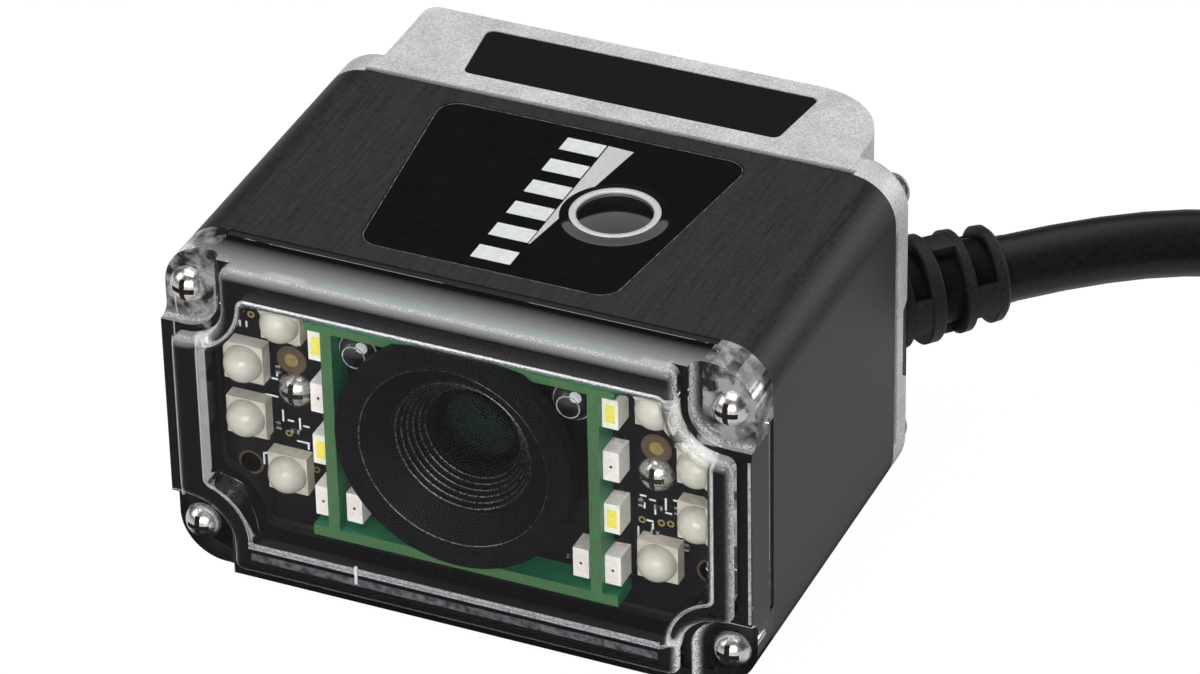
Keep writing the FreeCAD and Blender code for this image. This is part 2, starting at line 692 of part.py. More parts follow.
def strain_relief():
    """Plug in the cover's corner with a tapered boot, grooved all round and slotted between two webs."""
    plug = relief_prism(0).common(cover_shell())
    shoulder = BOOT_LENGTH - BOOT_ROUND
    boot = revolved([
        (-RELIEF_BLOCK_DEEP, 0), (-RELIEF_BLOCK_DEEP, BOOT_BASE_RADIUS), (0, BOOT_BASE_RADIUS),
        (shoulder, BOOT_END_RADIUS), (BOOT_LENGTH, BOOT_END_RADIUS - BOOT_ROUND), (BOOT_LENGTH, 0),
    ])
    slot = boot_groove(BOOT_SLOT_START, BOOT_SLOT_WIDTH)
    reach = BOOT_BASE_RADIUS
    slot_end = BOOT_SLOT_START + BOOT_SLOT_WIDTH
    web = box(BOOT_SLOT_START, slot_end, -BOOT_WEB / 2, BOOT_WEB / 2, -reach, reach)
    boot = boot.cut([boot_groove(BOOT_GROOVE_START, BOOT_GROOVE_WIDTH), slot.cut(web)])
    return plug.fuse(relief_axis(boot)).removeSplitter()


def block_plate():
    """Bare plate in the pocket of the cover's block."""
    z0 = BODY_HEIGHT - PLATE_POCKET
    return plate_sheet(0, z0, z0 + PLATE_THICK)


def status_overlay():
    """Sheet in the sleeve's top pocket, open at the lights and the button."""
    z0 = BODY_HEIGHT - OVERLAY_POCKET
    sheet = overlay_sheet(0, z0, Z_OVERLAY)
    return sheet.cut(light_prongs(LIGHT_CLEARANCE, z0, Z_OVERLAY) + [button_bore(z0, Z_OVERLAY)])


def light_guide():
    """One moulding: bar under the ceiling with a prong up to each light window."""
    half_x = LIGHT_WIDTH / 2 + GUIDE_MARGIN
    span_x = LIGHT_CENTRE_X - half_x, LIGHT_CENTRE_X + half_x
    end = LIGHT_LENGTH / 2 + GUIDE_END_MARGIN
    bar = box(*span_x, LIGHTS[0] - end, LIGHTS[-1] + end, Z_CEILING - GUIDE_BAR, Z_CEILING)
    return bar.fuse(light_prongs(0, Z_CEILING, Z_OVERLAY)).removeSplitter()


def push_button():
    """Domed cap in the bore, kept in by a rim under the ceiling."""
    y = Y_SLEEVE + BUTTON_SETBACK
    top = Z_OVERLAY + BUTTON_DOME
    sphere_radius = (BUTTON_RADIUS ** 2 + BUTTON_DOME ** 2) / (2 * BUTTON_DOME)
    cap = post(BUTTON_X, y, BUTTON_RADIUS, Z_BUTTON_RIM, top)
    cap = cap.common(Part.makeSphere(sphere_radius, V(BUTTON_X, y, top - sphere_radius)))
    rim = post(BUTTON_X, y, BUTTON_RIM_RADIUS, Z_BUTTON_RIM, Z_BUTTON_RIM + BUTTON_RIM)
    return cap.fuse(rim).removeSplitter()


def tact_switch():
    """Square switch body on the status board, with a well for its plunger."""
    y = Y_SLEEVE + BUTTON_SETBACK
    half = SWITCH_SIZE / 2
    top = Z_STATUS_TOP + SWITCH_HEIGHT
    body = box(BUTTON_X - half, BUTTON_X + half, y - half, y + half, Z_STATUS_TOP, top)
    floor = top - PLUNGER_DEPTH - BUTTON_TRAVEL - WELL_GAP
    return body.cut(post(BUTTON_X, y, PLUNGER_RADIUS + PLUNGER_CLEARANCE, floor, top))


def switch_plunger():
    """Plunger from the switch's well up to the button."""
    y = Y_SLEEVE + BUTTON_SETBACK
    return post(BUTTON_X, y, PLUNGER_RADIUS, Z_STATUS_TOP + SWITCH_HEIGHT - PLUNGER_DEPTH, Z_BUTTON_RIM)


def status_board():
    """Board under the lights and the button, on the upper edges of the upright boards."""
    y1 = Y_SLEEVE_END - STATUS_BOARD_END_GAP
    y0 = Y_FRAME + FRAME_THICK + BOARD_CLEARANCE
    return box(STATUS_BOARD_LEFT, STATUS_BOARD_RIGHT, y0, y1, Z_STATUS, Z_STATUS_TOP)


def status_leds():
    """One chip LED under each prong of the light guide."""
    half_x = STATUS_LED_X / 2
    half_y = STATUS_LED_Y / 2
    top = Z_STATUS_TOP + STATUS_LED_Z
    return Part.Compound([
        box(LIGHT_CENTRE_X - half_x, LIGHT_CENTRE_X + half_x, y - half_y, y + half_y, Z_STATUS_TOP, top)
        for y in LIGHTS
    ])


def led_board():
    """Board behind the window, open for the lens holder and the two screws."""
    board = interior(Y_LED_BOARD, Y_FRAME, BOARD_CLEARANCE)
    cuts = [rod(0, OPTIC_HEIGHT, HOLDER_RADIUS + HOLDER_FIT, Y_LED_BOARD, Y_FRAME)]
    for side in (-1, 1):
        hole_z = OPTIC_HEIGHT - BOARD_HOLE_DROP
        cuts.append(rod(side * BOARD_HOLE_X, hole_z, BOARD_HOLE_RADIUS, Y_LED_BOARD, Y_FRAME))
        passing = BOARD_SCREW_RADIUS + THREAD_CLEARANCE
        cuts.append(rod(side * BOARD_SCREW_X, OPTIC_HEIGHT, passing, Y_LED_BOARD, Y_FRAME))
    return board.cut(cuts)


def domed_leds():
    """Eight square LEDs with cast domes, four on each side."""
    half = DOMED_LED_SIZE / 2
    sphere_radius = (DOME_RADIUS ** 2 + DOME_HEIGHT ** 2) / (2 * DOME_HEIGHT)
    front = Y_LED_BOARD - DOMED_LED_HEIGHT
    level = OPTIC_HEIGHT - DOMED_DROP
    leds = []
    for side in (-1, 1):
        for x, rise in ((DOMED_INNER_X, DOMED_INNER_RISE), (DOMED_OUTER_X, DOMED_OUTER_RISE)):
            for z in (level - rise, level + rise):
                body = box(side * x - half, side * x + half, front, Y_LED_BOARD, z - half, z + half)
                ball = Part.makeSphere(sphere_radius, V(side * x, front - DOME_HEIGHT + sphere_radius, z))
                dome = ball.common(rod(side * x, z, DOME_RADIUS, front - DOME_HEIGHT, front))
                leds.append(body.fuse(dome))
    return Part.Compound(leds)


def small_led(x, z):
    """One small upright LED on the LED board."""
    half_x = SMALL_LED_WIDTH / 2
    half_z = SMALL_LED_LENGTH / 2
    front = Y_LED_BOARD - SMALL_LED_HEIGHT
    return box(x - half_x, x + half_x, front, Y_LED_BOARD, z - half_z, z + half_z)


def small_led_level(row):
    """Height of a row of small LEDs, counted from the top."""
    top = BAFFLE_HIGH - SMALL_LED_CEILING - SMALL_LED_LENGTH / 2
    low = BAFFLE_LOW + SMALL_LED_FLOOR + SMALL_LED_LENGTH / 2
    return top - row * (top - low) / (SMALL_LED_ROWS - 1)


def warm_leds():
    """Small LEDs in the first and third rows."""
    leds = [small_led(side * SMALL_LED_X, small_led_level(row)) for side in (-1, 1) for row in (0, 2)]
    return Part.Compound(leds)


def plain_leds():
    """Small LEDs in the second and fourth rows, and one more inside each side of the baffle."""
    leds = [small_led(side * SMALL_LED_X, small_led_level(row)) for side in (-1, 1) for row in (1, 3)]
    return Part.Compound(leds + [small_led(side * LOW_LED_X, small_led_level(3)) for side in (-1, 1)])


def led_board_screws():
    """Two domed screws that hold the LED board on the optics frame."""
    length = BOARD_THICK + FRAME_THICK
    screw = pan_screw(BOARD_SCREW_HEAD, BOARD_SCREW_HEIGHT, BOARD_SCREW_RADIUS, length)
    places = [side * BOARD_SCREW_X for side in (-1, 1)]
    return Part.Compound([screw_at(screw, x, Y_LED_BOARD, OPTIC_HEIGHT, True) for x in places])


def baffle_side(side):
    """Upright baffle board on one side of the lens."""
    inner = BAFFLE_INNER_HALF
    span = sorted((side * inner, side * (inner + BAFFLE_THICK)))
    return box(*span, Y_BAFFLE, Y_LED_BOARD, BAFFLE_LOW, BAFFLE_HIGH)


def baffle_level(z0):
    """Level baffle board above or below the lens."""
    return box(-BAFFLE_HALF_WIDTH, BAFFLE_HALF_WIDTH, Y_BAFFLE, Y_LED_BOARD, z0, z0 + BAFFLE_THICK)


def aim_leds():
    """Two clear domed aiming LEDs in the upper corners of the baffle."""
    z = AIM_LED_HEIGHT
    shoulder = Y_LED_BOARD - AIM_LED_LENGTH + AIM_LED_RADIUS
    leds = []
    for side in (-1, 1):
        body = rod(side * AIM_LED_X, z, AIM_LED_RADIUS, shoulder, Y_LED_BOARD)
        ball = Part.makeSphere(AIM_LED_RADIUS, V(side * AIM_LED_X, shoulder, z))
        dome = ball.common(rod(side * AIM_LED_X, z, AIM_LED_RADIUS, shoulder - AIM_LED_RADIUS, shoulder))
        leds.append(body.fuse(dome))
    return Part.Compound([led.removeSplitter() for led in leds])


def lens_holder():
    """Turned holder: wide front ring, conical mouth, tube back to the sensor board."""
    return optic(revolved([
        (Y_RING, RING_BORE), (Y_RING, RING_RADIUS), (Y_RING_BACK, RING_RADIUS),
        (Y_RING_BACK, HOLDER_RADIUS), (Y_SENSOR_BOARD, HOLDER_RADIUS), (Y_SENSOR_BOARD, HOLDER_BORE),
        (Y_BARREL, HOLDER_BORE),
    ]))


def barrel_bore():
    """Profile points of the barrel's stepped mouth, from its rim inwards."""
    points = []
    radius = HOLDER_BORE - HOLDER_FIT - STEP_INWARD
    y = Y_BARREL
    for _ in range(BARREL_STEPS):
        points.append((y, radius))
        y += STEP_DEEP
        points.append((y, radius))
        radius -= STEP_INWARD
    return points


def lens_seat():
    """Plane that the front lens rests on, behind the stepped mouth."""
    return Y_BARREL + BARREL_STEPS * STEP_DEEP + LENS_THICK


def lens_barrel():
    """Turned barrel: stepped mouth, front lens seat, aperture and rear lens seat."""
    outer = HOLDER_BORE - HOLDER_FIT
    seat = lens_seat()
    end = Y_BARREL + BARREL_LENGTH
    pocket = LENS_RADIUS + HOLDER_FIT
    rear = end - LENS_THICK
    return optic(revolved(
        [(Y_BARREL, outer)] + barrel_bore() + [
            (seat - LENS_THICK, pocket), (seat, pocket), (seat, APERTURE_RADIUS), (rear, APERTURE_RADIUS),
            (rear, pocket), (end, pocket), (end, outer),
        ]
    ))


def lens(y_seat, forward):
    """Lens with one bulged face, its flat face at a seat plane."""
    sphere_radius = (LENS_RADIUS ** 2 + LENS_BULGE ** 2) / (2 * LENS_BULGE)
    way = -1 if forward else 1
    far = y_seat + way * LENS_THICK
    ball = Part.makeSphere(sphere_radius, V(0, far - way * sphere_radius, OPTIC_HEIGHT))
    ends = sorted((y_seat, far))
    return rod(0, OPTIC_HEIGHT, LENS_RADIUS, *ends).common(ball)


def front_lens():
    """Lens in the barrel's mouth."""
    return lens(lens_seat(), True)


def rear_lens():
    """Lens at the barrel's inner end."""
    return lens(Y_BARREL + BARREL_LENGTH - LENS_THICK, False)


def image_sensor():
    """Sensor chip on the sensor board, inside the holder's tube."""
    half_x = SENSOR_WIDTH / 2
    half_z = SENSOR_HEIGHT / 2
    y0 = Y_SENSOR_BOARD - SENSOR_THICK
    return box(-half_x, half_x, y0, Y_SENSOR_BOARD, OPTIC_HEIGHT - half_z, OPTIC_HEIGHT + half_z)


def optics_frame():
    """Frame across the sleeve that carries LED board, holder and, on four pillars, the sensor board."""
    plate = interior(Y_FRAME, Y_FRAME + FRAME_THICK, BOARD_CLEARANCE)
    pillars = [rod(x, z, PILLAR_RADIUS, Y_FRAME + FRAME_THICK, Y_SENSOR_BOARD) for x, z in PILLARS]
    frame = plate.fuse(pillars)
    bite = LONG_SCREW_RADIUS + THREAD_CLEARANCE
    cuts = [rod(x, z, bite, Y_SENSOR_BOARD - LONG_SCREW_BITE, Y_SENSOR_BOARD) for x, z in PILLARS]
    cuts.append(rod(0, OPTIC_HEIGHT, HOLDER_RADIUS + HOLDER_FIT, Y_FRAME, Y_FRAME + FRAME_THICK))
    tapped = BOARD_SCREW_RADIUS + THREAD_CLEARANCE
    for side in (-1, 1):
        cuts.append(rod(side * BOARD_SCREW_X, OPTIC_HEIGHT, tapped, Y_FRAME, Y_FRAME + FRAME_THICK))
    return frame.cut(cuts).removeSplitter()


def inner_board(y0):
    """Upright board with holes for the four long screws, its upper edge under the status board."""
    board = box(-INNER_BOARD_HALF, INNER_BOARD_HALF, y0, y0 + BOARD_THICK, INNER_BOARD_LOW, Z_STATUS)
    passing = LONG_SCREW_RADIUS + LONG_SCREW_CLEARANCE
    return board.cut([rod(x, z, passing, y0, y0 + BOARD_THICK) for x, z in PILLARS])


def board_spacers():
    """Four tubes between the sensor board and the processor board."""
    y0 = Y_SENSOR_BOARD + BOARD_THICK
    passing = LONG_SCREW_RADIUS + LONG_SCREW_CLEARANCE
    tubes = [rod(x, z, PILLAR_RADIUS, y0, Y_PROCESSOR_BOARD) for x, z in PILLARS]
    holes = [rod(x, z, passing, y0, Y_PROCESSOR_BOARD) for x, z in PILLARS]
    return Part.Compound([tube.cut(hole) for tube, hole in zip(tubes, holes)])


def long_screws():
    """Four screws through both boards and the spacers into the frame's pillars."""
    seat = Y_PROCESSOR_BOARD + BOARD_THICK
    length = seat - Y_SENSOR_BOARD + LONG_SCREW_BITE
    screw = pan_screw(LONG_SCREW_HEAD, LONG_SCREW_HEIGHT, LONG_SCREW_RADIUS, length)
    return Part.Compound([screw_at(screw, x, seat, z, False) for x, z in PILLARS])


def stack_connector():
    """Connector between the two upright boards."""
    half = STACK_CONNECTOR_WIDTH / 2
    y0 = Y_SENSOR_BOARD + BOARD_THICK
    top = STACK_CONNECTOR_LOW + STACK_CONNECTOR_HEIGHT
    return box(-half, half, y0, Y_PROCESSOR_BOARD, STACK_CONNECTOR_LOW, top)


def cable_header():
    """Header on the processor board where the cable's cores end."""
    half = HEADER_WIDTH / 2
    y0 = Y_PROCESSOR_BOARD + BOARD_THICK
    return box(-half, half, y0, y0 + HEADER_DEPTH, HEADER_LOW, HEADER_LOW + HEADER_HEIGHT)


def cord_tube(points):
    """Round tube along straight runs joined by arcs as large as the runs allow; prints the arc radii."""
    edges = []
    last = points[0]
    for before, here, after in zip(points, points[1:], points[2:]):
        back = before.sub(here)
        ahead = after.sub(here)
        reach = ARC_SHARE * min(back.Length, ahead.Length)
        back.normalize()
        ahead.normalize()
        half = back.getAngle(ahead) / 2
        radius = reach * math.tan(half)
        start = here.add(back * reach)
        end = here.add(ahead * reach)
        inward = back.add(ahead).normalize()
        middle = here.add(inward * (radius / math.sin(half) - radius))
        edges.append(Part.LineSegment(last, start).toShape())
        edges.append(Part.Arc(start, middle, end).toShape())
        last = end
        print("cord arc radius", round(radius, 1))
    edges.append(Part.LineSegment(last, points[-1]).toShape())
    path = Part.Wire(edges)
    way = points[1].sub(points[0])
    ring = Part.Wire(Part.makeCircle(CABLE_RADIUS, points[0], way))
    tube = path.makePipeShell([ring], True, False)
    plain = math.pi * CABLE_RADIUS ** 2 * path.Length
    print("cord volume over section times length", round(tube.Volume / plain, 4))
    return tube


def cable():
    """Free run from the strain relief to the coil."""
    straight = CABLE_STRAIGHT * DIAGONAL
    foot = V(BOOT_END.x, BOOT_END.y, 0)
    points = [BOOT_END, BOOT_END.add(V(straight, straight, 0))]
    return cord_tube(points + [foot.add(point) for point in CABLE_POINTS])


def cable_tail():
    """Run from the coil to the connector."""
    return cord_tube([COIL_CENTRE.add(point) for point in TAIL_POINTS])


def ring_section(grow, round_corners):
    """Section of the coil, two turns wide and two high, as a face in the XZ plane."""
    inner = COIL_MID_RADIUS - 2 * CABLE_RADIUS - grow
    outer = COIL_MID_RADIUS + 2 * CABLE_RADIUS + grow
    low = COIL_BASE - grow
    high = COIL_BASE + 4 * CABLE_RADIUS + grow
    return rounded_face(rectangle(inner, outer, low, high), round_corners, lambda a, b: V(a, 0, b))


def cable_coil():
    """Coiled length of the cable as one ring of its outer form."""
    ring = ring_section(0, COIL_ROUND).revolve(V(0, 0, 0), V(0, 0, 1), 360)
    ring.translate(COIL_CENTRE)
    return ring


def cable_tie():
    """Band around the coil's section."""
    band = ring_section(TIE_CLEARANCE + TIE_THICK, COIL_ROUND)
    band = band.cut(ring_section(TIE_CLEARANCE, COIL_ROUND))
    tie = band.revolve(V(0, 0, 0), V(0, 0, 1), TIE_ANGLE)
    tie.rotate(V(0, 0, 0), V(0, 0, 1), TIE_PLACE)
    tie.translate(COIL_CENTRE)
    return tie


def at_tail(shape):
    """Moves a solid made along X to the end of the cable's tail, lying level."""
    way = TAIL_POINTS[-1].sub(TAIL_POINTS[-2])
    placed = shape.copy()
    placed.rotate(V(0, 0, 0), V(0, 0, 1), math.degrees(math.atan2(way.y, way.x)))
    placed.translate(CONNECTOR_START)
    return placed


def nut_start():
    """Distance from the tail's end to the near face of the coupling nut."""
    return GRIP_LENGTH + NUT_END_PLAY


def connector_body():
    """Moulded grip with a spigot for the nut, its collar and the contact shell."""
    end = nut_start() + NUT_LENGTH
    collar = end - SHELL_DEPTH - COLLAR_LENGTH
    body = revolved([
        (0, 0), (0, GRIP_NECK), (GRIP_NECK_LENGTH, GRIP_RADIUS), (GRIP_LENGTH, GRIP_RADIUS),
        (GRIP_LENGTH, SPIGOT_RADIUS), (collar, SPIGOT_RADIUS), (collar, COLLAR_RADIUS),
        (collar + COLLAR_LENGTH, COLLAR_RADIUS), (collar + COLLAR_LENGTH, SPIGOT_RADIUS),
        (end, SPIGOT_RADIUS), (end, SPIGOT_RADIUS - SHELL_WALL),
        (end - SHELL_DEPTH, SPIGOT_RADIUS - SHELL_WALL), (end - SHELL_DEPTH, 0),
    ])
    return at_tail(body)


def connector_contacts():
    """Ring of contact pins in the shell."""
    face = nut_start() + NUT_LENGTH - SHELL_DEPTH
    pins = []
    for i in range(CONTACT_COUNT):
        angle = 2 * math.pi * i / CONTACT_COUNT
        foot = V(face, CONTACT_CIRCLE * math.cos(angle), CONTACT_CIRCLE * math.sin(angle))
        pin = Part.makeCylinder(CONTACT_RADIUS, SHELL_DEPTH - SHELL_WALL, foot, V(1, 0, 0))
        pins.append(at_tail(pin))
    return Part.Compound(pins)


def coupling_nut():
    """Fluted nut that turns on the spigot, kept on by the collar inside it."""
    start = nut_start()
    end = start + NUT_LENGTH
    collar = end - SHELL_DEPTH - COLLAR_LENGTH
    bore = SPIGOT_RADIUS + NUT_RUNNING_FIT
    wide = COLLAR_RADIUS + NUT_RUNNING_FIT
    nut = revolved([
        (start, bore), (start, NUT_RADIUS), (end, NUT_RADIUS), (end, wide),
        (collar - NUT_END_PLAY, wide), (collar - NUT_END_PLAY, bore),
    ])
    flutes = []
    for i in range(NUT_FLUTES):
        angle = 2 * math.pi * (i + 0.5) / NUT_FLUTES
        reach = NUT_RADIUS + NUT_FLUTE_RADIUS / 2
        foot = V(start, reach * math.cos(angle), reach * math.sin(angle))
        flutes.append(Part.makeCylinder(NUT_FLUTE_RADIUS, NUT_LENGTH / 2, foot, V(1, 0, 0)))
    return at_tail(nut.cut(flutes))


def nodes():
    """Every piece of the reader by its name."""
    return {
        "housing_sleeve": housing_sleeve(),
        "front_window": front_window(),
        "front_gasket": front_gasket(),
        "window_screws": window_screws(),
        "rear_cover": rear_cover(),
        "rear_gasket": rear_gasket(),
        "rear_cover_screws": cover_screws(),
        "block_plate": block_plate(),
        "status_overlay": status_overlay(),
        "light_guide": light_guide(),
        "push_button": push_button(),
        "switch_plunger": switch_plunger(),
        "tact_switch": tact_switch(),
        "status_board": status_board(),
        "status_leds": status_leds(),
        "led_board": led_board(),
        "domed_leds": domed_leds(),
        "warm_leds": warm_leds(),
        "plain_leds": plain_leds(),
        "led_board_screws": led_board_screws(),
        "baffle_left": baffle_side(-1),
        "baffle_right": baffle_side(1),
        "baffle_bottom": baffle_level(BAFFLE_LOW - BAFFLE_THICK),
        "baffle_top": baffle_level(BAFFLE_HIGH),
        "aim_leds": aim_leds(),
        "lens_holder": lens_holder(),
        "lens_barrel": lens_barrel(),
        "front_lens": front_lens(),
        "rear_lens": rear_lens(),
        "image_sensor": image_sensor(),
        "optics_frame": optics_frame(),
        "sensor_board": inner_board(Y_SENSOR_BOARD),
        "processor_board": inner_board(Y_PROCESSOR_BOARD),
        "board_spacers": board_spacers(),
        "long_board_screws": long_screws(),
        "stack_connector": stack_connector(),
        "cable_header": cable_header(),
        "strain_relief": strain_relief(),
        "cable": cable(),
        "cable_coil": cable_coil(),
        "cable_tie": cable_tie(),
        "cable_tail": cable_tail(),
        "connector_body": connector_body(),
        "connector_contacts": connector_contacts(),
        "coupling_nut": coupling_nut(),
    }


def main():
    """Writes one file for each piece."""
    os.makedirs("parts", exist_ok=True)
    for name, shape in nodes().items():
        solids = shape.Solids
        print(name, len(solids), shape.isValid(), round(sum(s.Volume for s in solids), 2))
        shape.exportStep("parts/" + name + ".step")


main()
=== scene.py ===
"""Looks of a compact fixed-mount barcode reader: finishes, board details, prints, cable, light and camera."""

import bpy
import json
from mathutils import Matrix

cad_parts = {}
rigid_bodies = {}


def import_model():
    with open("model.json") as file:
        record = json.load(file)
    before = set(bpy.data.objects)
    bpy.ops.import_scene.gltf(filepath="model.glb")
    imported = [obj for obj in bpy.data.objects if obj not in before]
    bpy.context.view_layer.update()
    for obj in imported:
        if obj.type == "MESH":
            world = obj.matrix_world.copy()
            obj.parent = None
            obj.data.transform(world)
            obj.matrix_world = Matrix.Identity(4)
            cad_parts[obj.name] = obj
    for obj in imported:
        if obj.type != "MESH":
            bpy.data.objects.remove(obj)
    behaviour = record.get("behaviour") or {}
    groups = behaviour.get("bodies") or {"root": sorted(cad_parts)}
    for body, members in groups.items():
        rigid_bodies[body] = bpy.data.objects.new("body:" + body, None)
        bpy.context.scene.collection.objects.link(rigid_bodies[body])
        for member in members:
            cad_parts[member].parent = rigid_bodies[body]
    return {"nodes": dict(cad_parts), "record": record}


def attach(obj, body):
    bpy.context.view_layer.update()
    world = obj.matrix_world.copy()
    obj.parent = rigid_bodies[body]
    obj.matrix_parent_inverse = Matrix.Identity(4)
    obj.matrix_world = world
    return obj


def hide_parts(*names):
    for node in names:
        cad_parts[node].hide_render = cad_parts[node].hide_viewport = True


for stray in list(bpy.data.objects):
    bpy.data.objects.remove(stray)
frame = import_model()

import json
import logging
import math
from dataclasses import dataclass
from enum import Enum
from functools import cache, reduce
from typing import Any, Callable, Sequence

import bmesh
from mathutils import Matrix, Vector

Socket = bpy.types.NodeSocket
Mesh = bpy.types.Mesh
Pair = tuple[float, float]
Point = tuple[float, float, float]
Colour = tuple[float, float, float]

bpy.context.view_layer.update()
READER = "reader"  # body that all added pieces ride on
MM = 0.001  # sizes are in millimetres and angles in degrees where nothing else is said
MERGE = 1e-7  # distance in metres at which points are one
SIDES = (-1, 1)
WHITE: Colour = (1.0, 1.0, 1.0)
PLAIN: Point = (1.0, 1.0, 1.0)  # no stretch along any axis
TONES: Pair = (0.3, 0.7)  # noise values between which a finish goes from dark to light
SOFT = 60.0  # angle in degrees past which a round shape's edges stay sharp
EDGE_PEAK = 6.75  # brings the top of a * (1 - a) ** 2 to 1
FRONT = Matrix.Rotation(math.radians(90), 4, "Z")  # turns local X to Y, so that -X faces the front
log = logging.getLogger("reader")


class Ends(Enum):
    """What closes the first and the last loop of a loft."""

    CAPPED = "capped"
    OPEN = "open"
    JOINED = "joined"


def metres(point: Sequence[float]) -> Point:
    """Point in metres from one in millimetres."""
    return tuple(c * MM for c in point)


def smooth(share: float) -> float:
    """Share from 0 to 1 with a soft start and end."""
    return share * share * (3 - 2 * share)


def circle(radius: float, count: int) -> list[Pair]:
    """Points around a circle."""
    angles = [2 * math.pi * i / count for i in range(count)]
    return [(radius * math.cos(a), radius * math.sin(a)) for a in angles]


def linked(name: str, data: bpy.types.ID) -> bpy.types.Object:
    """Adds an object to the scene.

    Args:
        name: Name of the object.
        data: Its mesh, curve, light or camera.

    Returns:
        The object.
    """
    made = bpy.data.objects.new(name, data)
    bpy.context.scene.collection.objects.link(made)
    return made


class Wiring:
    """Adds nodes to a tree and joins them."""

    def __init__(self, tree: bpy.types.NodeTree) -> None:
        """Keeps the tree."""
        self.tree = tree

    def node(self, kind: str, inputs: dict[Any, Any] | None = None, **settings: Any) -> bpy.types.NodeOutputs:
        """Adds a node.

        Args:
            kind: Blender's name of the node type.
            inputs: Values or sockets for the node's inputs, by name or index.
            settings: Properties of the node itself.

        Returns:
            The node's outputs.
        """
        made = self.tree.nodes.new(kind)
        for key, value in settings.items():
            setattr(made, key, value)
        for key, value in (inputs or {}).items():
            socket = made.inputs[key]
            if isinstance(value, Socket):
                self.tree.links.new(value, socket)
            else:
                socket.default_value = (*value, 1.0) if socket.type == "RGBA" else value
        return made.outputs

    def parts(self, vector: Socket) -> list[Socket]:
        """X, Y and Z of a vector."""
        return list(self.node("ShaderNodeSeparateXYZ", {"Vector": vector}))

    def normal(self) -> list[Socket]:
        """X, Y and Z of the surface's normal."""
        return self.parts(self.node("ShaderNodeTexCoord")["Normal"])

    def millimetres(self, stretch: Point = PLAIN) -> Socket:
        """Object coordinates in millimetres, stretched along the axes."""
        place = self.node("ShaderNodeTexCoord")["Object"]
        return self.node("ShaderNodeMapping", {"Vector": place, "Scale": tuple(s / MM for s in stretch)})[0]

    def noise(self, scale: float, detail: float = 3.0, stretch: Point = PLAIN) -> Socket:
        """Noise value at a scale in waves per millimetre."""
        inputs = {"Vector": self.millimetres(stretch), "Scale": scale, "Detail": detail}
        return self.node("ShaderNodeTexNoise", inputs)["Fac"]

    def ramp(self, value: Socket, *stops: tuple[float, Colour]) -> Socket:
        """Adds a colour ramp over a value.

        Args:
            value: What the ramp follows.
            stops: Place and colour of each stop.

        Returns:
            The colour.
        """
        colour = self.node("ShaderNodeValToRGB", {"Fac": value})["Color"]
        marks = colour.node.color_ramp.elements
        while len(marks) < len(stops):
            marks.new(1.0)
        for mark, (place, tone) in zip(marks, stops):
            mark.position = place
            mark.color = (*tone, 1.0)
        return colour

    def span(self, value: Socket, low: float = 0.0, high: float = 1.0, start: float = 0.0,
             end: float = 1.0) -> Socket:
        """Value between start and end moved to between low and high."""
        ends = {"From Min": start, "From Max": end, "To Min": low, "To Max": high}
        return self.node("ShaderNodeMapRange", {"Value": value, **ends})["Result"]

    def blend(self, share: Socket, first: Any, second: Any) -> Socket:
        """Mix of two colours."""
        return self.node("ShaderNodeMix", {0: share, 6: first, 7: second}, data_type="RGBA")[2]

    def either(self, share: Socket, first: Socket, second: Socket) -> Socket:
        """Mix of two shaders."""
        return self.node("ShaderNodeMixShader", {0: share, 1: first, 2: second})[0]

    def ray(self, kind: str) -> Socket:
        """1 for rays of a kind, such as Camera or Shadow, else 0."""
        return self.node("ShaderNodeLightPath")[f"Is {kind} Ray"]

    def math(self, operation: str, *values: Any) -> Socket:
        """Result of a math node."""
        return self.node("ShaderNodeMath", dict(enumerate(values)), operation=operation)[0]

    def times(self, *values: Any) -> Socket:
        """Product of values."""
        return reduce(lambda a, b: self.math("MULTIPLY", a, b), values)

    def minus(self, value: Any, other: Any) -> Socket:
        """Difference of two values."""
        return self.math("SUBTRACT", value, other)

    def most(self, *values: Any) -> Socket:
        """Largest of the values."""
        return reduce(lambda a, b: self.math("MAXIMUM", a, b), values)

    def size(self, value: Socket) -> Socket:
        """Value without its sign."""
        return self.math("ABSOLUTE", value)

    def above(self, value: Any, edge: Any) -> Socket:
        """1 where a value is above an edge, else 0."""
        return self.math("GREATER_THAN", value, edge)


def wired(owner: bpy.types.ID, output: str, shader: Callable[[Wiring], Socket]) -> bpy.types.ID:
    """Fills the node tree of a material or world.

    Args:
        owner: The material or world.
        output: Kind of its output node.
        shader: Method that wires its shader.

    Returns:
        The material or world.
    """
    owner.use_nodes = True
    owner.node_tree.nodes.clear()
    wiring = Wiring(owner.node_tree)
    wiring.node("ShaderNodeOutput" + output, {"Surface": shader(wiring)})
    return owner


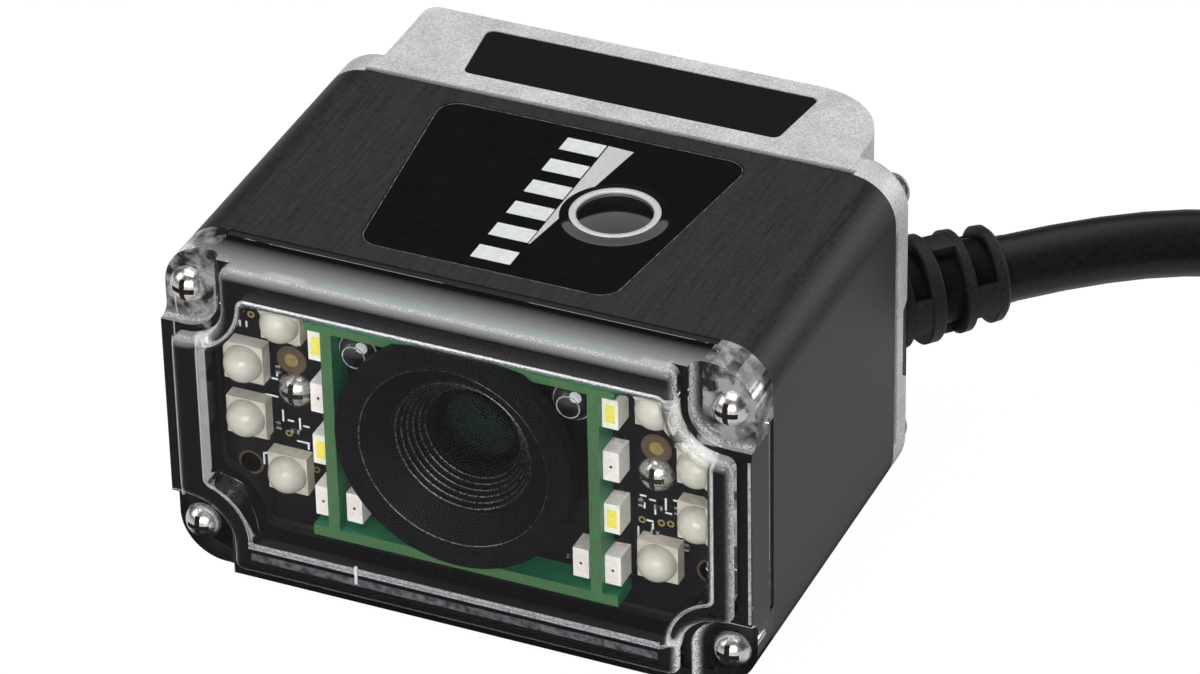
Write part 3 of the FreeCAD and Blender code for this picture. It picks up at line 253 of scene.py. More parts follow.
@dataclass(frozen=True)
class Finish:
    """Base of a finish: a fine two-tone surface with a noise bump."""

    dark: Colour
    light: Colour
    rough: Pair  # lowest and highest roughness
    grain: float  # noise scale in waves per millimetre
    depth: float  # bump depth in millimetres
    metal: float = 0.0
    shine: float = 0.5  # specular level

    def grained(self, wiring: Wiring) -> Socket:
        """Noise that colour, roughness and bump share."""
        return wiring.noise(self.grain)

    def colour(self, wiring: Wiring, grain: Socket) -> Socket:
        """Colour over the surface."""
        return wiring.ramp(grain, (TONES[0], self.dark), (TONES[1], self.light))

    def extras(self, wiring: Wiring) -> dict[str, Any]:
        """Further inputs of the surface shader."""
        return {"Metallic": self.metal, "Specular IOR Level": self.shine}

    def shader(self, wiring: Wiring) -> Socket:
        """Wires the surface shader.

        Args:
            wiring: Wiring of the material.

        Returns:
            The shader.
        """
        grain = self.grained(wiring)
        inputs = {"Base Color": self.colour(wiring, grain), "Roughness": wiring.span(grain, *self.rough)}
        if self.depth:
            inputs["Normal"] = wiring.node("ShaderNodeBump", {"Height": grain, "Strength": 1.0,
                                                              "Distance": self.depth * MM})[0]
        return wiring.node("ShaderNodeBsdfPrincipled", {**inputs, **self.extras(wiring)})[0]


@dataclass(frozen=True)
class Worked(Finish):
    """Worked metal: fine scratches or pits over a broad mottle."""

    fine: float = 7.0  # scale, detail and stretch of the fine marks
    detail: float = 2.0
    stretch: Point = PLAIN
    broad: Pair = (0.3, 2.0)  # share and detail of the mottle

    def grained(self, wiring: Wiring) -> Socket:
        """Fine marks mixed with the mottle."""
        marks = wiring.times(wiring.noise(self.fine, self.detail, self.stretch), 1.0 - self.broad[0])
        return wiring.math("MULTIPLY_ADD", wiring.noise(self.grain, self.broad[1]), self.broad[0], marks)


@dataclass(frozen=True)
class Clear(Finish):
    """Clear moulded plastic or glass that lets lamps through to what is behind it."""

    index: float = 1.49  # index of refraction
    tint: Colour = WHITE  # colour of the mirrored light

    def extras(self, wiring: Wiring) -> dict[str, Any]:
        """Lets all light through."""
        mirrored = {"Specular IOR Level": self.shine, "Specular Tint": self.tint}
        return {"Transmission Weight": 1.0, "IOR": self.index, **mirrored}

    def shader(self, wiring: Wiring) -> Socket:
        """Glass surface that gives no hard shadow."""
        opened = wiring.node("ShaderNodeBsdfTransparent", {"Color": self.light})[0]
        return wiring.either(wiring.ray("Shadow"), super().shader(wiring), opened)


@dataclass(frozen=True)
class Moulded(Clear):
    """Clear moulding: a still pane to the front, glossy walls, and painted highlights: white scatter along
    rounded edges, along the top's front where it faces up and in patches on the upper ears.
    """

    pale: float = 0.4  # share of white scatter painted as a highlight along the top's front
    level: float = 14.0  # height above which that painted highlight lies
    band: Pair = (-15.2, -18.2)  # depths between which it grows
    inner: float = 0.1  # share of it that is left when seen from inside
    ear: Point = (18.3, 20.5, 0.3)  # place across, height and share of the painted glare on the upper ears
    patches: Point = (0.8, 0.42, 0.6)  # scale and range of the noise on the ears
    mottle: Pair = (0.1, 2.6)  # least and most strength there
    line: float = 0.42  # share of white scatter painted as highlights along rounded edges
    glint_noise: Point = (7.0, 0.35, 0.65)  # scale and range of the noise along an edge
    sparkle: Pair = (0.45, 1.6)  # least and most strength there
    inside: Pair = (16.0, 8.9)  # half sizes of the pane's field, where edges stay clear
    middle: float = 13.25  # height of that field's middle
    low: float = 6.0  # height below which the painted edge highlights are brighter and the floor of the hollow is dull
    lift: float = 1.1  # how much brighter they are
    still: float = 0.04  # tint of the light mirrored by the pane
    dull: float = 0.8  # share by which walls mirror less
    focus: float = 4.0  # how narrowly a surface has to face an axis
    side: float = 22.2  # place across past which the outer sides bend and mirror less
    side_index: float = 1.2  # index of refraction of those sides

    def painted_glare(self, wiring: Wiring) -> Socket:
        """Wires the painted highlight on the top's front and the painted glare on the ears.

        Args:
            wiring: Wiring of the material.

        Returns:
            Share of light that is scattered.
        """
        x, y, z = wiring.parts(wiring.millimetres())
        start, end = self.band
        up = wiring.times(wiring.normal()[2], wiring.above(z, self.level), wiring.span(y, start=start, end=end))
        scale, *ends = self.patches
        patches = wiring.span(wiring.noise(scale), *self.mottle, *ends)
        across, height, share = self.ear
        ear = wiring.times(wiring.above(wiring.size(x), across), wiring.above(z, height), patches, share)
        outside = wiring.span(wiring.node("ShaderNodeNewGeometry")["Backfacing"], 1.0, self.inner)
        return wiring.times(outside, wiring.most(up, ear), self.pale)

    def edges(self, wiring: Wiring, under: Socket) -> Socket:
        """Wires the painted highlights: bright lines along rounded edges.

        Args:
            wiring: Wiring of the material.
            under: 1 along the lower edge, else 0.

        Returns:
            Share of light that is scattered.
        """
        x, _, z = wiring.parts(wiring.millimetres())
        along = wiring.size(wiring.normal()[1])
        beside = wiring.minus(1.0, along)
        wide, tall = self.inside
        rise = wiring.size(wiring.minus(z, self.middle))
        rim = wiring.most(wiring.above(wiring.size(x), wide), wiring.above(rise, tall))
        scale, *ends = self.glint_noise
        glint_noise = wiring.span(wiring.noise(scale), *self.sparkle, *ends)
        lift = wiring.span(under, 1.0, 1.0 + self.lift)
        return wiring.times(along, beside, beside, rim, glint_noise, lift, EDGE_PEAK * self.line)

    def extras(self, wiring: Wiring) -> dict[str, Any]:
        """Lets light through but at the painted highlights on spots and edges, and mirrors little where it
        faces an axis.

        Args:
            wiring: Wiring of the material.

        Returns:
            Inputs of the surface shader.
        """
        x, _, z = wiring.parts(wiring.millimetres())
        under = wiring.math("LESS_THAN", z, self.low)
        # painted highlights: white scatter on the top, the ears and the rounded edges
        lost = wiring.most(self.painted_glare(wiring), self.edges(wiring, under))
        sides, pane, floor = (wiring.math("POWER", wiring.size(n), self.focus) for n in wiring.normal())
        walls = wiring.times(wiring.most(sides, wiring.times(floor, under)), self.dull)
        outer = wiring.above(wiring.size(x), self.side)
        return {
            **super().extras(wiring),
            "Transmission Weight": wiring.minus(1.0, wiring.math("MINIMUM", lost, 1.0)),
            "IOR": wiring.span(outer, self.index, self.side_index),
            "Specular Tint": wiring.span(wiring.most(pane, walls), 1.0, self.still),
        }


@dataclass(frozen=True)
class FrontLitResin(Finish):
    """Cast resin with painted light: its colour is lifted towards its middle, where the surface faces the
    front.
    """

    # colour painted on as light where the resin faces the front
    core: Colour = (0.62, 0.59, 0.52)
    most: float = 0.6  # share of the core's colour, painted as light, where the surface faces the front

    def colour(self, wiring: Wiring, grain: Socket) -> Socket:
        """Resin colour, lifted as painted light where the surface faces the front."""
        share = wiring.span(wiring.times(wiring.normal()[1], -1.0), 0.0, self.most)
        return wiring.blend(share, super().colour(wiring, grain), self.core)


@dataclass(frozen=True)
class GrooveShaded(Finish):
    """Soft moulding with painted shade: darker down in the grooves around the cable's line."""

    axis: Point = (25.7303, 22.5303, 12.1)  # point that the cable's line passes, going out at 45 degrees
    ground: Pair = (2.6, 3.5)  # radii between which the painted shade turns from dark to its own tone
    deep: Colour = (0.001, 0.001, 0.001)  # painted shade: colour and specular level in the grooves
    groove_shade_shine: float = 0.02

    def lifted(self, wiring: Wiring) -> Socket:
        """Wires the height over the ground of the grooves.

        Args:
            wiring: Wiring of the material.

        Returns:
            Share from 0 on the ground to 1 on the outside.
        """
        x, y, z = wiring.parts(wiring.millimetres())
        slant = wiring.times(wiring.minus(x, y), math.sqrt(0.5))
        across = wiring.minus(slant, (self.axis[0] - self.axis[1]) * math.sqrt(0.5))
        rise = wiring.minus(z, self.axis[2])
        away = wiring.math("SQRT", wiring.math("MULTIPLY_ADD", across, across, wiring.times(rise, rise)))
        start, end = self.ground
        return wiring.span(away, start=start, end=end)

    def colour(self, wiring: Wiring, grain: Socket) -> Socket:
        """Own tone, going to near black in the grooves as painted shade."""
        return wiring.blend(self.lifted(wiring), self.deep, super().colour(wiring, grain))

    def extras(self, wiring: Wiring) -> dict[str, Any]:
        """Shine on the outside, little in the grooves as painted shade."""
        shine = wiring.span(self.lifted(wiring), self.groove_shade_shine, self.shine)
        return {**super().extras(wiring), "Specular IOR Level": shine}


@dataclass(frozen=True)
class CutBoard(Finish):
    """Thin circuit board: masked faces and bare cut edges towards the front and back."""

    edge: Colour = (0.05, 0.16, 0.06)  # colour of the cut edge
    core: Colour = (0.1, 0.1, 0.045)  # colour of the bare spots in it
    shade: float = 0.7  # share of the edge's colour beside such a spot
    stops: Point = (0.35, 0.45, 0.7)  # noise values of bare spot, shade and edge
    fibre: float = 3.0  # scale and stretch of the spots
    stretch: Point = (2.0, 1.0, 2.0)
    facing: float = 0.7  # how far a cut edge faces along Y

    def colour(self, wiring: Wiring, grain: Socket) -> Socket:
        """Wires the mask's colour, and the cut colour where the surface faces along Y.

        Args:
            wiring: Wiring of the material.
            grain: Noise of the finish.

        Returns:
            The colour.
        """
        cut = wiring.above(wiring.size(wiring.normal()[1]), self.facing)
        tones = (self.core, tuple(self.shade * c for c in self.edge), self.edge)
        fibre = wiring.ramp(wiring.noise(self.fibre, stretch=self.stretch), *zip(self.stops, tones))
        return wiring.blend(cut, super().colour(wiring, grain), fibre)


FINISHES: dict[str, Finish] = {
    "anodised_black": Worked((0.001, 0.001, 0.001), (0.03, 0.025, 0.029), (0.3, 0.56), 2.0, 0.02, shine=0.3,
                             fine=9.0, detail=4.0, stretch=(1.0, 0.03, 1.0), broad=(0.35, 2.0)),
    # clear_plastic carries painted highlights along its top, its ears and its rounded edges
    "clear_plastic": Moulded((0.93, 0.94, 0.94), (0.98, 0.99, 0.99), (0.0, 0.04), 1.2, 0.0005),
    "cast_metal": Worked((0.42, 0.43, 0.44), (0.88, 0.89, 0.91), (0.4, 0.55), 0.4, 0.016, metal=0.3),
    # black_rubber carries painted shade: near black down in the grooves of the strain relief
    "black_rubber": GrooveShaded((0.008, 0.007, 0.008), (0.024, 0.02, 0.023), (0.35, 0.6), 5.0, 0.015, shine=0.2),
    "screw_steel": Finish((0.66, 0.64, 0.62), (0.86, 0.84, 0.82), (0.2, 0.32), 6.0, 0.002, metal=1.0),
    "plate_black": Finish((0.005, 0.004, 0.004), (0.012, 0.011, 0.011), (0.4, 0.55), 12.0, 0.004, shine=0.06),
    "overlay_black": Finish((0.0025, 0.0022, 0.003), (0.0045, 0.004, 0.005), (0.06, 0.1), 1.0, 0.0004),
    "light_guide": Finish((0.72, 0.76, 0.76), (0.84, 0.87, 0.87), (0.25, 0.35), 2.0, 0.002),
    "board_black": Finish((0.003, 0.003, 0.004), (0.008, 0.007, 0.009), (0.22, 0.4), 1.3, 0.006, shine=0.15),
    "board_green": Finish((0.01, 0.07, 0.035), (0.02, 0.12, 0.06), (0.3, 0.45), 1.3, 0.01),
    "baffle_green": CutBoard((0.008, 0.1, 0.04), (0.02, 0.18, 0.08), (0.35, 0.5), 1.6, 0.004),
    "led_cream": Finish((0.42, 0.38, 0.32), (0.55, 0.51, 0.45), (0.3, 0.45), 1.5, 0.004),
    "led_warm": Finish((0.7, 0.67, 0.58), (0.82, 0.8, 0.74), (0.35, 0.5), 3.0, 0.003),
    "led_plain": Finish((0.7, 0.65, 0.62), (0.82, 0.78, 0.75), (0.35, 0.5), 3.0, 0.003),
    "optic_black": Finish((0.002, 0.002, 0.0025), (0.006, 0.006, 0.007), (0.4, 0.55), 6.0, 0.005, shine=0.05),
    "lens_glass": Clear((0.55, 0.66, 0.66), (0.65, 0.75, 0.75), (0.0, 0.02), 0.3, 0.0, index=1.6,
                        tint=(0.02, 0.08, 0.075)),
    "chip_black": Finish((0.01, 0.01, 0.01), (0.02, 0.02, 0.02), (0.4, 0.55), 4.0, 0.004),
    "header_white": Finish((0.6, 0.58, 0.52), (0.7, 0.68, 0.62), (0.35, 0.5), 2.0, 0.004),
    "cable_black": Finish((0.005, 0.004, 0.005), (0.011, 0.009, 0.011), (0.3, 0.42), 3.0, 0.004, shine=0.25),
    "connector_black": Finish((0.005, 0.004, 0.005), (0.013, 0.011, 0.013), (0.4, 0.6), 4.0, 0.012, shine=0.15),
    "contact_gold": Finish((0.7, 0.5, 0.18), (0.85, 0.65, 0.3), (0.15, 0.25), 4.0, 0.002, metal=1.0),
    "nut_nickel": Finish((0.55, 0.54, 0.52), (0.7, 0.69, 0.67), (0.2, 0.32), 3.0, 0.003, metal=1.0),
    "thread_grey": Finish((0.1, 0.1, 0.11), (0.26, 0.26, 0.29), (0.2, 0.35), 7.0, 0.004, metal=0.95),
    # recess_dark: painted shade for the screws' cross recesses
    "recess_dark": Finish((0.012, 0.009, 0.007), (0.03, 0.022, 0.018), (0.45, 0.6), 9.0, 0.004, shine=0.08),
    # dome_milky: the domes' fronts are lightened as painted light
    "dome_milky": FrontLitResin((0.3, 0.28, 0.23), (0.38, 0.36, 0.3), (0.12, 0.22), 0.8, 0.002),
    "phosphor_yellow": Finish((0.75, 0.62, 0.08), (0.85, 0.74, 0.15), (0.4, 0.55), 8.0, 0.003),
    "window_pink": Finish((0.72, 0.62, 0.58), (0.8, 0.72, 0.68), (0.25, 0.4), 5.0, 0.002),
    "bare_brown": Finish((0.06, 0.035, 0.02), (0.11, 0.07, 0.04), (0.35, 0.5), 8.0, 0.003),
    # edge_pale and edge_dim colour painted highlights and painted reflections
    "edge_pale": Finish((0.12, 0.125, 0.13), (0.55, 0.56, 0.58), (0.3, 0.5), 6.0, 0.003),
    "edge_dim": Finish((0.006, 0.006, 0.007), (0.16, 0.16, 0.18), (0.3, 0.5), 2.2, 0.003),
    "silk_white": Finish((0.6, 0.62, 0.66), (0.75, 0.77, 0.8), (0.5, 0.65), 12.0, 0.003),
    "print_silver": Finish((0.55, 0.55, 0.55), (0.75, 0.75, 0.75), (0.35, 0.5), 9.0, 0.002, metal=0.2),
}


@cache
def finished(name: str) -> bpy.types.Material:
    """Material of a finish, built on its first use."""
    return wired(bpy.data.materials.new(name), "Material", FINISHES[name].shader)


def dress_nodes() -> None:
    """Gives every CAD node the material of its slot."""
    for row in frame["record"]["subparts"]:
        slots = frame["nodes"][row["node"]].data.materials
        slots.clear()
        slots.append(finished(row["material_slot"]))


class Shape:
    """Points and faces in millimetres that become one mesh."""

    def __init__(self, sharp: float = 35.0) -> None:
        """Starts empty.

        Args:
            sharp: Angle in degrees past which an edge stays sharp.
        """
        self.sharp = sharp
        self.points: list[Point] = []
        self.faces: list[tuple[int, ...]] = []

    def loft(self, loops: Sequence[Sequence[Point]], ends: Ends) -> "Shape":
        """Adds a skin over closed loops of as many points each.

        Args:
            loops: The loops in order.
            ends: What closes the first and the last loop.

        Returns:
            The shape itself.
        """
        count = len(loops[0])
        starts = [len(self.points) + count * i for i in range(len(loops))]
        self.points += [tuple(point) for loop in loops for point in loop]
        pairs = list(zip(starts, starts[1:]))
        if ends is Ends.JOINED:
            pairs.append((starts[-1], starts[0]))
        if ends is Ends.CAPPED:
            self.faces += [tuple(range(start, start + count)) for start in (starts[0], starts[-1])]
        for here, there in pairs:
            for i in range(count):
                j = (i + 1) % count
                self.faces.append((here + i, there + i, there + j, here + j))
        return self

    def prism(self, outline: Sequence[Pair], low: float, high: float) -> "Shape":
        """Adds a prism along Y of an outline of (x, z) corners."""
        return self.loft([[(x, level, z) for x, z in outline] for level in (low, high)], Ends.CAPPED)

    def block(self, low: Point, high: Point) -> "Shape":
        """Adds a box between two opposite corners."""
        (left, near, bottom), (right, far, top) = low, high
        return self.prism([(left, bottom), (right, bottom), (right, top), (left, top)], near, far)

    def strip(self, outer: Sequence[Pair], inner: Sequence[Pair], low: float, high: float) -> "Shape":
        """Adds a flat closed strip between two outlines of as many corners, along Z."""
        lines = ((outer, low), (outer, high), (inner, high), (inner, low))
        return self.loft([[(*corner, level) for corner in line] for line, level in lines], Ends.JOINED)

    def lathe(self, profile: Sequence[Pair], segments: int, place: Matrix) -> "Shape":
        """Adds a profile of (along, radius) points turned about local X, then placed."""
        rounds = [[place @ Vector((along, *p)) for p in circle(radius, segments)] for along, radius in profile]
        return self.loft(rounds, Ends.OPEN)

    def sector(self, radii: Pair, angles: Pair, levels: Pair, steps: int, place: Matrix) -> "Shape":
        """Adds a piece of a ring around local X, then placed.

        Args:
            radii: Inner and outer radius.
            angles: First and last angle in degrees.
            levels: First and last place along the axis.
            steps: Steps around the piece.
            place: Where the axis lies.

        Returns:
            The shape itself.
        """
        corners = list(zip((levels[0], levels[0], levels[1], levels[1]), (*radii, *reversed(radii))))
        loops = []
        for i in range(steps + 1):
            angle = math.radians(angles[0] + (angles[1] - angles[0]) * i / steps)
            across = Vector((0.0, math.cos(angle), math.sin(angle)))
            loops.append([place @ (Vector((along, 0.0, 0.0)) + radius * across) for along, radius in corners])
        return self.loft(loops, Ends.CAPPED)

    def mesh(self, name: str) -> Mesh:
        """Makes a mesh in metres: doubles merged, faces turned outwards, smooth shading.

        Args:
            name: Name of the mesh.

        Returns:
            The mesh.
        """
        made = bpy.data.meshes.new(name)
        made.from_pydata([metres(p) for p in self.points], [], self.faces)
        work = bmesh.new()
        work.from_mesh(made)
        bmesh.ops.remove_doubles(work, verts=work.verts, dist=MERGE)
        bmesh.ops.dissolve_degenerate(work, dist=MERGE, edges=work.edges)
        bmesh.ops.recalc_face_normals(work, faces=work.faces)
        work.to_mesh(made)
        work.free()
        made.shade_smooth()
        made.set_sharp_from_angle(angle=math.radians(self.sharp))
        return made


class Repeater:
    """Copies one shape to many places with a geometry-nodes tree."""

    def __init__(self) -> None:
        """Builds the tree once: instances on points, one mesh, one material."""
        self.tree = bpy.data.node_groups.new("repeat", "GeometryNodeTree")
        self.keys: dict[str, str] = {}
        for name, way, kind in (("Places", "INPUT", "Geometry"), ("Piece", "INPUT", "Object"),
                                ("Finish", "INPUT", "Material"), ("Copies", "OUTPUT", "Geometry")):
            made = self.tree.interface.new_socket(name, in_out=way, socket_type="NodeSocket" + kind)
            self.keys[name] = made.identifier
        wiring = Wiring(self.tree)
        entry = wiring.node("NodeGroupInput")
        turn, size = (wiring.node("GeometryNodeInputNamedAttribute", {"Name": name}, data_type=kind)[0]
                      for name, kind in (("turn", "FLOAT_VECTOR"), ("size", "FLOAT")))
        piece = wiring.node("GeometryNodeObjectInfo", {"Object": entry["Piece"]})["Geometry"]
        spread = wiring.node("GeometryNodeInstanceOnPoints", {
            "Points": entry["Places"], "Instance": piece, "Rotation": turn, "Scale": size})[0]
        whole = wiring.node("GeometryNodeRealizeInstances", {"Geometry": spread})[0]
        dressed = wiring.node("GeometryNodeSetMaterial", {"Geometry": whole, "Material": entry["Finish"]})[0]
        wiring.node("NodeGroupOutput", {0: dressed})

    def copies(self, name: str, piece: Mesh, places: Sequence[Point], finish: str,
               turns: Sequence[Point] = (), sizes: Sequence[float] = ()) -> Mesh:
        """Makes the mesh of a piece copied to places.

        Args:
            name: Name of the mesh.
            piece: Mesh of one copy, around the origin.
            places: Where the copies go, in millimetres.
            finish: Name of the finish.
            turns: Turn of each copy in degrees about X, Y and Z.
            sizes: Size of each copy.

        Returns:
            The joined mesh.
        """
        points = bpy.data.meshes.new(name + "_places")
        points.from_pydata([metres(p) for p in places], [], [])
        turned = points.attributes.new("turn", "FLOAT_VECTOR", "POINT")
        for item, angles in zip(turned.data, turns):
            item.vector = [math.radians(a) for a in angles]
        sized = points.attributes.new("size", "FLOAT", "POINT")
        for item, size in zip(sized.data, sizes or [1.0] * len(places)):
            item.value = size
        source = bpy.data.objects.new(name + "_piece", piece)
        carrier = linked(name + "_carrier", points)
        step = carrier.modifiers.new("repeat", "NODES")
        step.node_group = self.tree
        step[self.keys["Piece"]] = source
        step[self.keys["Finish"]] = finished(finish)
        graph = bpy.context.evaluated_depsgraph_get()
        made = bpy.data.meshes.new_from_object(carrier.evaluated_get(graph), depsgraph=graph)
        made.name = name
        carrier.modifiers.clear()
        for spent in (carrier, source):
            bpy.data.objects.remove(spent)
        for data in (points, piece):
            bpy.data.meshes.remove(data)
        return made


@dataclass
class Assembly:
    """Sub-assembly that puts its pieces into the scene."""

    repeater: Repeater

    def build(self) -> None:
        """Makes the pieces."""
        raise NotImplementedError

    def place(self, name: str, data: bpy.types.ID, finish: str,
              replaces: Sequence[str] = ()) -> bpy.types.Object:
        """Adds a piece that rides on the reader.

        Args:
            name: Name of the piece.
            data: Its mesh or curve, in metres.
            finish: Name of its finish.
            replaces: Nodes that it stands for.

        Returns:
            The piece.
        """
        made = linked(name, data)
        if not len(data.materials):
            data.materials.append(finished(finish))
        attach(made, READER)
        if replaces:
            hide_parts(*replaces)
        log.info("piece %s", name)
        return made

    def add(self, name: str, shape: Shape, finish: str) -> None:
        """Adds a shape as a piece."""
        self.place(name, shape.mesh(name), finish)

    def repeat(self, name: str, shape: Shape, places: Sequence[Point], finish: str,
               **each: Sequence[Any]) -> None:
        """Adds copies of a shape as one piece, with turns or sizes for each."""
        self.place(name, self.repeater.copies(name, shape.mesh(name + "_one"), places, finish, **each), finish)


@dataclass
class CableCord(Assembly):
    """Cable from the boot to its connector: free run, coil under a tie, tail."""

    boot_end: Point = (25.7303, 22.5303, 12.1)
    run: tuple[Point, ...] = ((8.669, 8.669, 12.1), (21.3, 17.0, 7.8), (36.8, 21.5, 4.0), (53.7, 22.4, 3.7))
    coil: Pair = (56.3, -7.5)  # middle of the coil; like the run, from the boot's end in X and Y
    # points of the tail, from the coil's middle
    tail: tuple[Point, ...] = ((14.3, 26.4, 8.7), (26.6, 19.7, 8.5), (38.5, 10.4, 7.5), (48.0, -0.6, 7.5))
    radii: Pair = (25.0, 30.0)  # inner and outer turns
    heights: Pair = (3.7, 8.7)  # lower and upper turns
    step: float = 15.0  # angle between two points of a turn
    cross: float = 70.0  # angle that a change to the next place takes
    changes: Point = (275.0, 565.0, 855.0)  # angles gone when the cable moves in, up and out again
    turns: int = 3
    leave: float = 61.56  # angle at which the tail leaves
    diameter: float = 5.0
    length: float = 634.0  # from the boot to the connector
    fineness: int = 6  # steps between two points, and around a quarter of the cable

    def coil_point(self, middle: Pair, start: float, gone: float) -> Point:
        """Finds a point of the coil.

        Args:
            middle: Middle of the coil.
            start: Angle where the coil starts.
            gone: Angle gone since then.

        Returns:
            The point.
        """
        moved = [smooth(max(0.0, min(1.0, (gone - change) / self.cross))) for change in self.changes]
        (inner, outer), (low, high) = self.radii, self.heights
        radius = outer - (outer - inner) * (moved[0] - moved[2])
        angle = math.radians(start - gone)
        x, y = middle[0] + radius * math.cos(angle), middle[1] + radius * math.sin(angle)
        return x, y, low + (high - low) * moved[1]

    def route(self) -> list[Point]:
        """Finds all points of the cable's line.

        Returns:
            The points in order.
        """
        x, y, _ = self.boot_end
        points = [self.boot_end] + [(x + a, y + b, z) for a, b, z in self.run]
        middle = (x + self.coil[0], y + self.coil[1])
        start = math.degrees(math.atan2(points[-1][1] - middle[1], points[-1][0] - middle[0]))
        whole = 360.0 * self.turns + start - self.leave
        gone = self.step
        while gone < whole - self.step / 2:
            points.append(self.coil_point(middle, start, gone))
            gone += self.step
        return points + [(middle[0] + a, middle[1] + b, z) for a, b, z in self.tail]

    def build(self) -> None:
        data = bpy.data.curves.new("cable_cord", "CURVE")
        data.dimensions = "3D"
        line = data.splines.new("NURBS")
        points = self.route()
        line.points.add(len(points) - 1)
        for knot, point in zip(line.points, points):
            knot.co = (*metres(point), 1.0)
        line.order_u = 3
        line.use_endpoint_u = True
        line.resolution_u = data.bevel_resolution = self.fineness
        data.bevel_depth = self.diameter / 2 * MM
        replaced = ("cable", "cable_coil", "cable_tail")
        cord = self.place("cable_cord", data, "cable_black", replaced)
        metres(self.boot_end)


@dataclass
class Boot(Assembly):
    """Strain relief: the plug of the solids, and a tail with slots that change sides from ring to ring."""

    root: Point = (20.6391, 17.4391, 12.1)  # middle of the tail's root on the cut corner
    angle: float = 45.0  # angle of the tail about Z
    profile: tuple[Pair, ...] = (  # rings and core, as (along, radius) points
        (-2.3, 0.0), (-2.3, 3.94), (-1.8, 3.94), (-1.7, 3.84), (-1.7, 2.95), (-0.4, 2.95), (-0.4, 3.95),
        (-0.3, 4.05), (0.55, 4.02), (0.7, 3.9), (0.7, 2.9), (2.45, 2.9), (2.45, 3.7), (2.55, 3.84), (3.2, 3.8),
        (3.3, 3.68), (3.3, 2.85), (5.0, 2.85), (5.0, 3.5), (5.1, 3.62), (5.7, 3.58), (6.0, 3.3), (6.0, 0.0))
    webs: tuple[tuple[Pair, float, float, float], ...] = (  # ends, radius, half angle and angle in each slot
        ((-1.75, -0.35), 3.9, 22.0, 0.0), ((0.6, 2.5), 3.84, 15.0, 90.0), ((3.25, 5.05), 3.62, 22.0, 0.0))
    web_foot: float = 2.6  # radius inside the core where the webs start
    web_steps: int = 8
    cable: Point = (5.2, 7.2, 2.5)  # start, end and radius of the cable's first length
    segments: int = 72
    cut: float = -2.1  # where the solids are cut along the tail

    def plug(self, place: Matrix) -> bmesh.types.BMesh:
        """Cuts the tail off the plug of the solids.

        Args:
            place: Place of the tail's line, going out along local X.

        Returns:
            The closed plug.
        """
        made = bmesh.new()
        made.from_mesh(frame["nodes"]["strain_relief"].data)
        everything = made.verts[:] + made.edges[:] + made.faces[:]
        bmesh.ops.bisect_plane(made, geom=everything, plane_co=place @ Vector((self.cut, 0.0, 0.0)) * MM,
                               plane_no=place.to_3x3().col[0], clear_outer=True)
        bmesh.ops.holes_fill(made, edges=[edge for edge in made.edges if edge.is_boundary])
        return made

    def build(self) -> None:
        """Makes the strain relief and the cable's first length."""
        place = Matrix.Translation(self.root) @ Matrix.Rotation(math.radians(self.angle), 4, "Z")
        tail = Shape().lathe(self.profile, self.segments, place)
        for ends, radius, half, angle in self.webs:
            for side in (angle, angle + 180.0):
                tail.sector((self.web_foot, radius), (side - half, side + half), ends, self.web_steps, place)
        made = self.plug(place)
        made.from_mesh(tail.mesh("boot_tail"))
        data = bpy.data.meshes.new("boot")
        made.to_mesh(data)
        made.free()
        self.place("boot", data, "black_rubber", ("strain_relief",))
        start, end, radius = self.cable
        first = [(start, 0.0), (start, radius), (end, radius), (end, 0.0)]
        self.add("cable_start", Shape().lathe(first, self.segments, place), "cable_black")


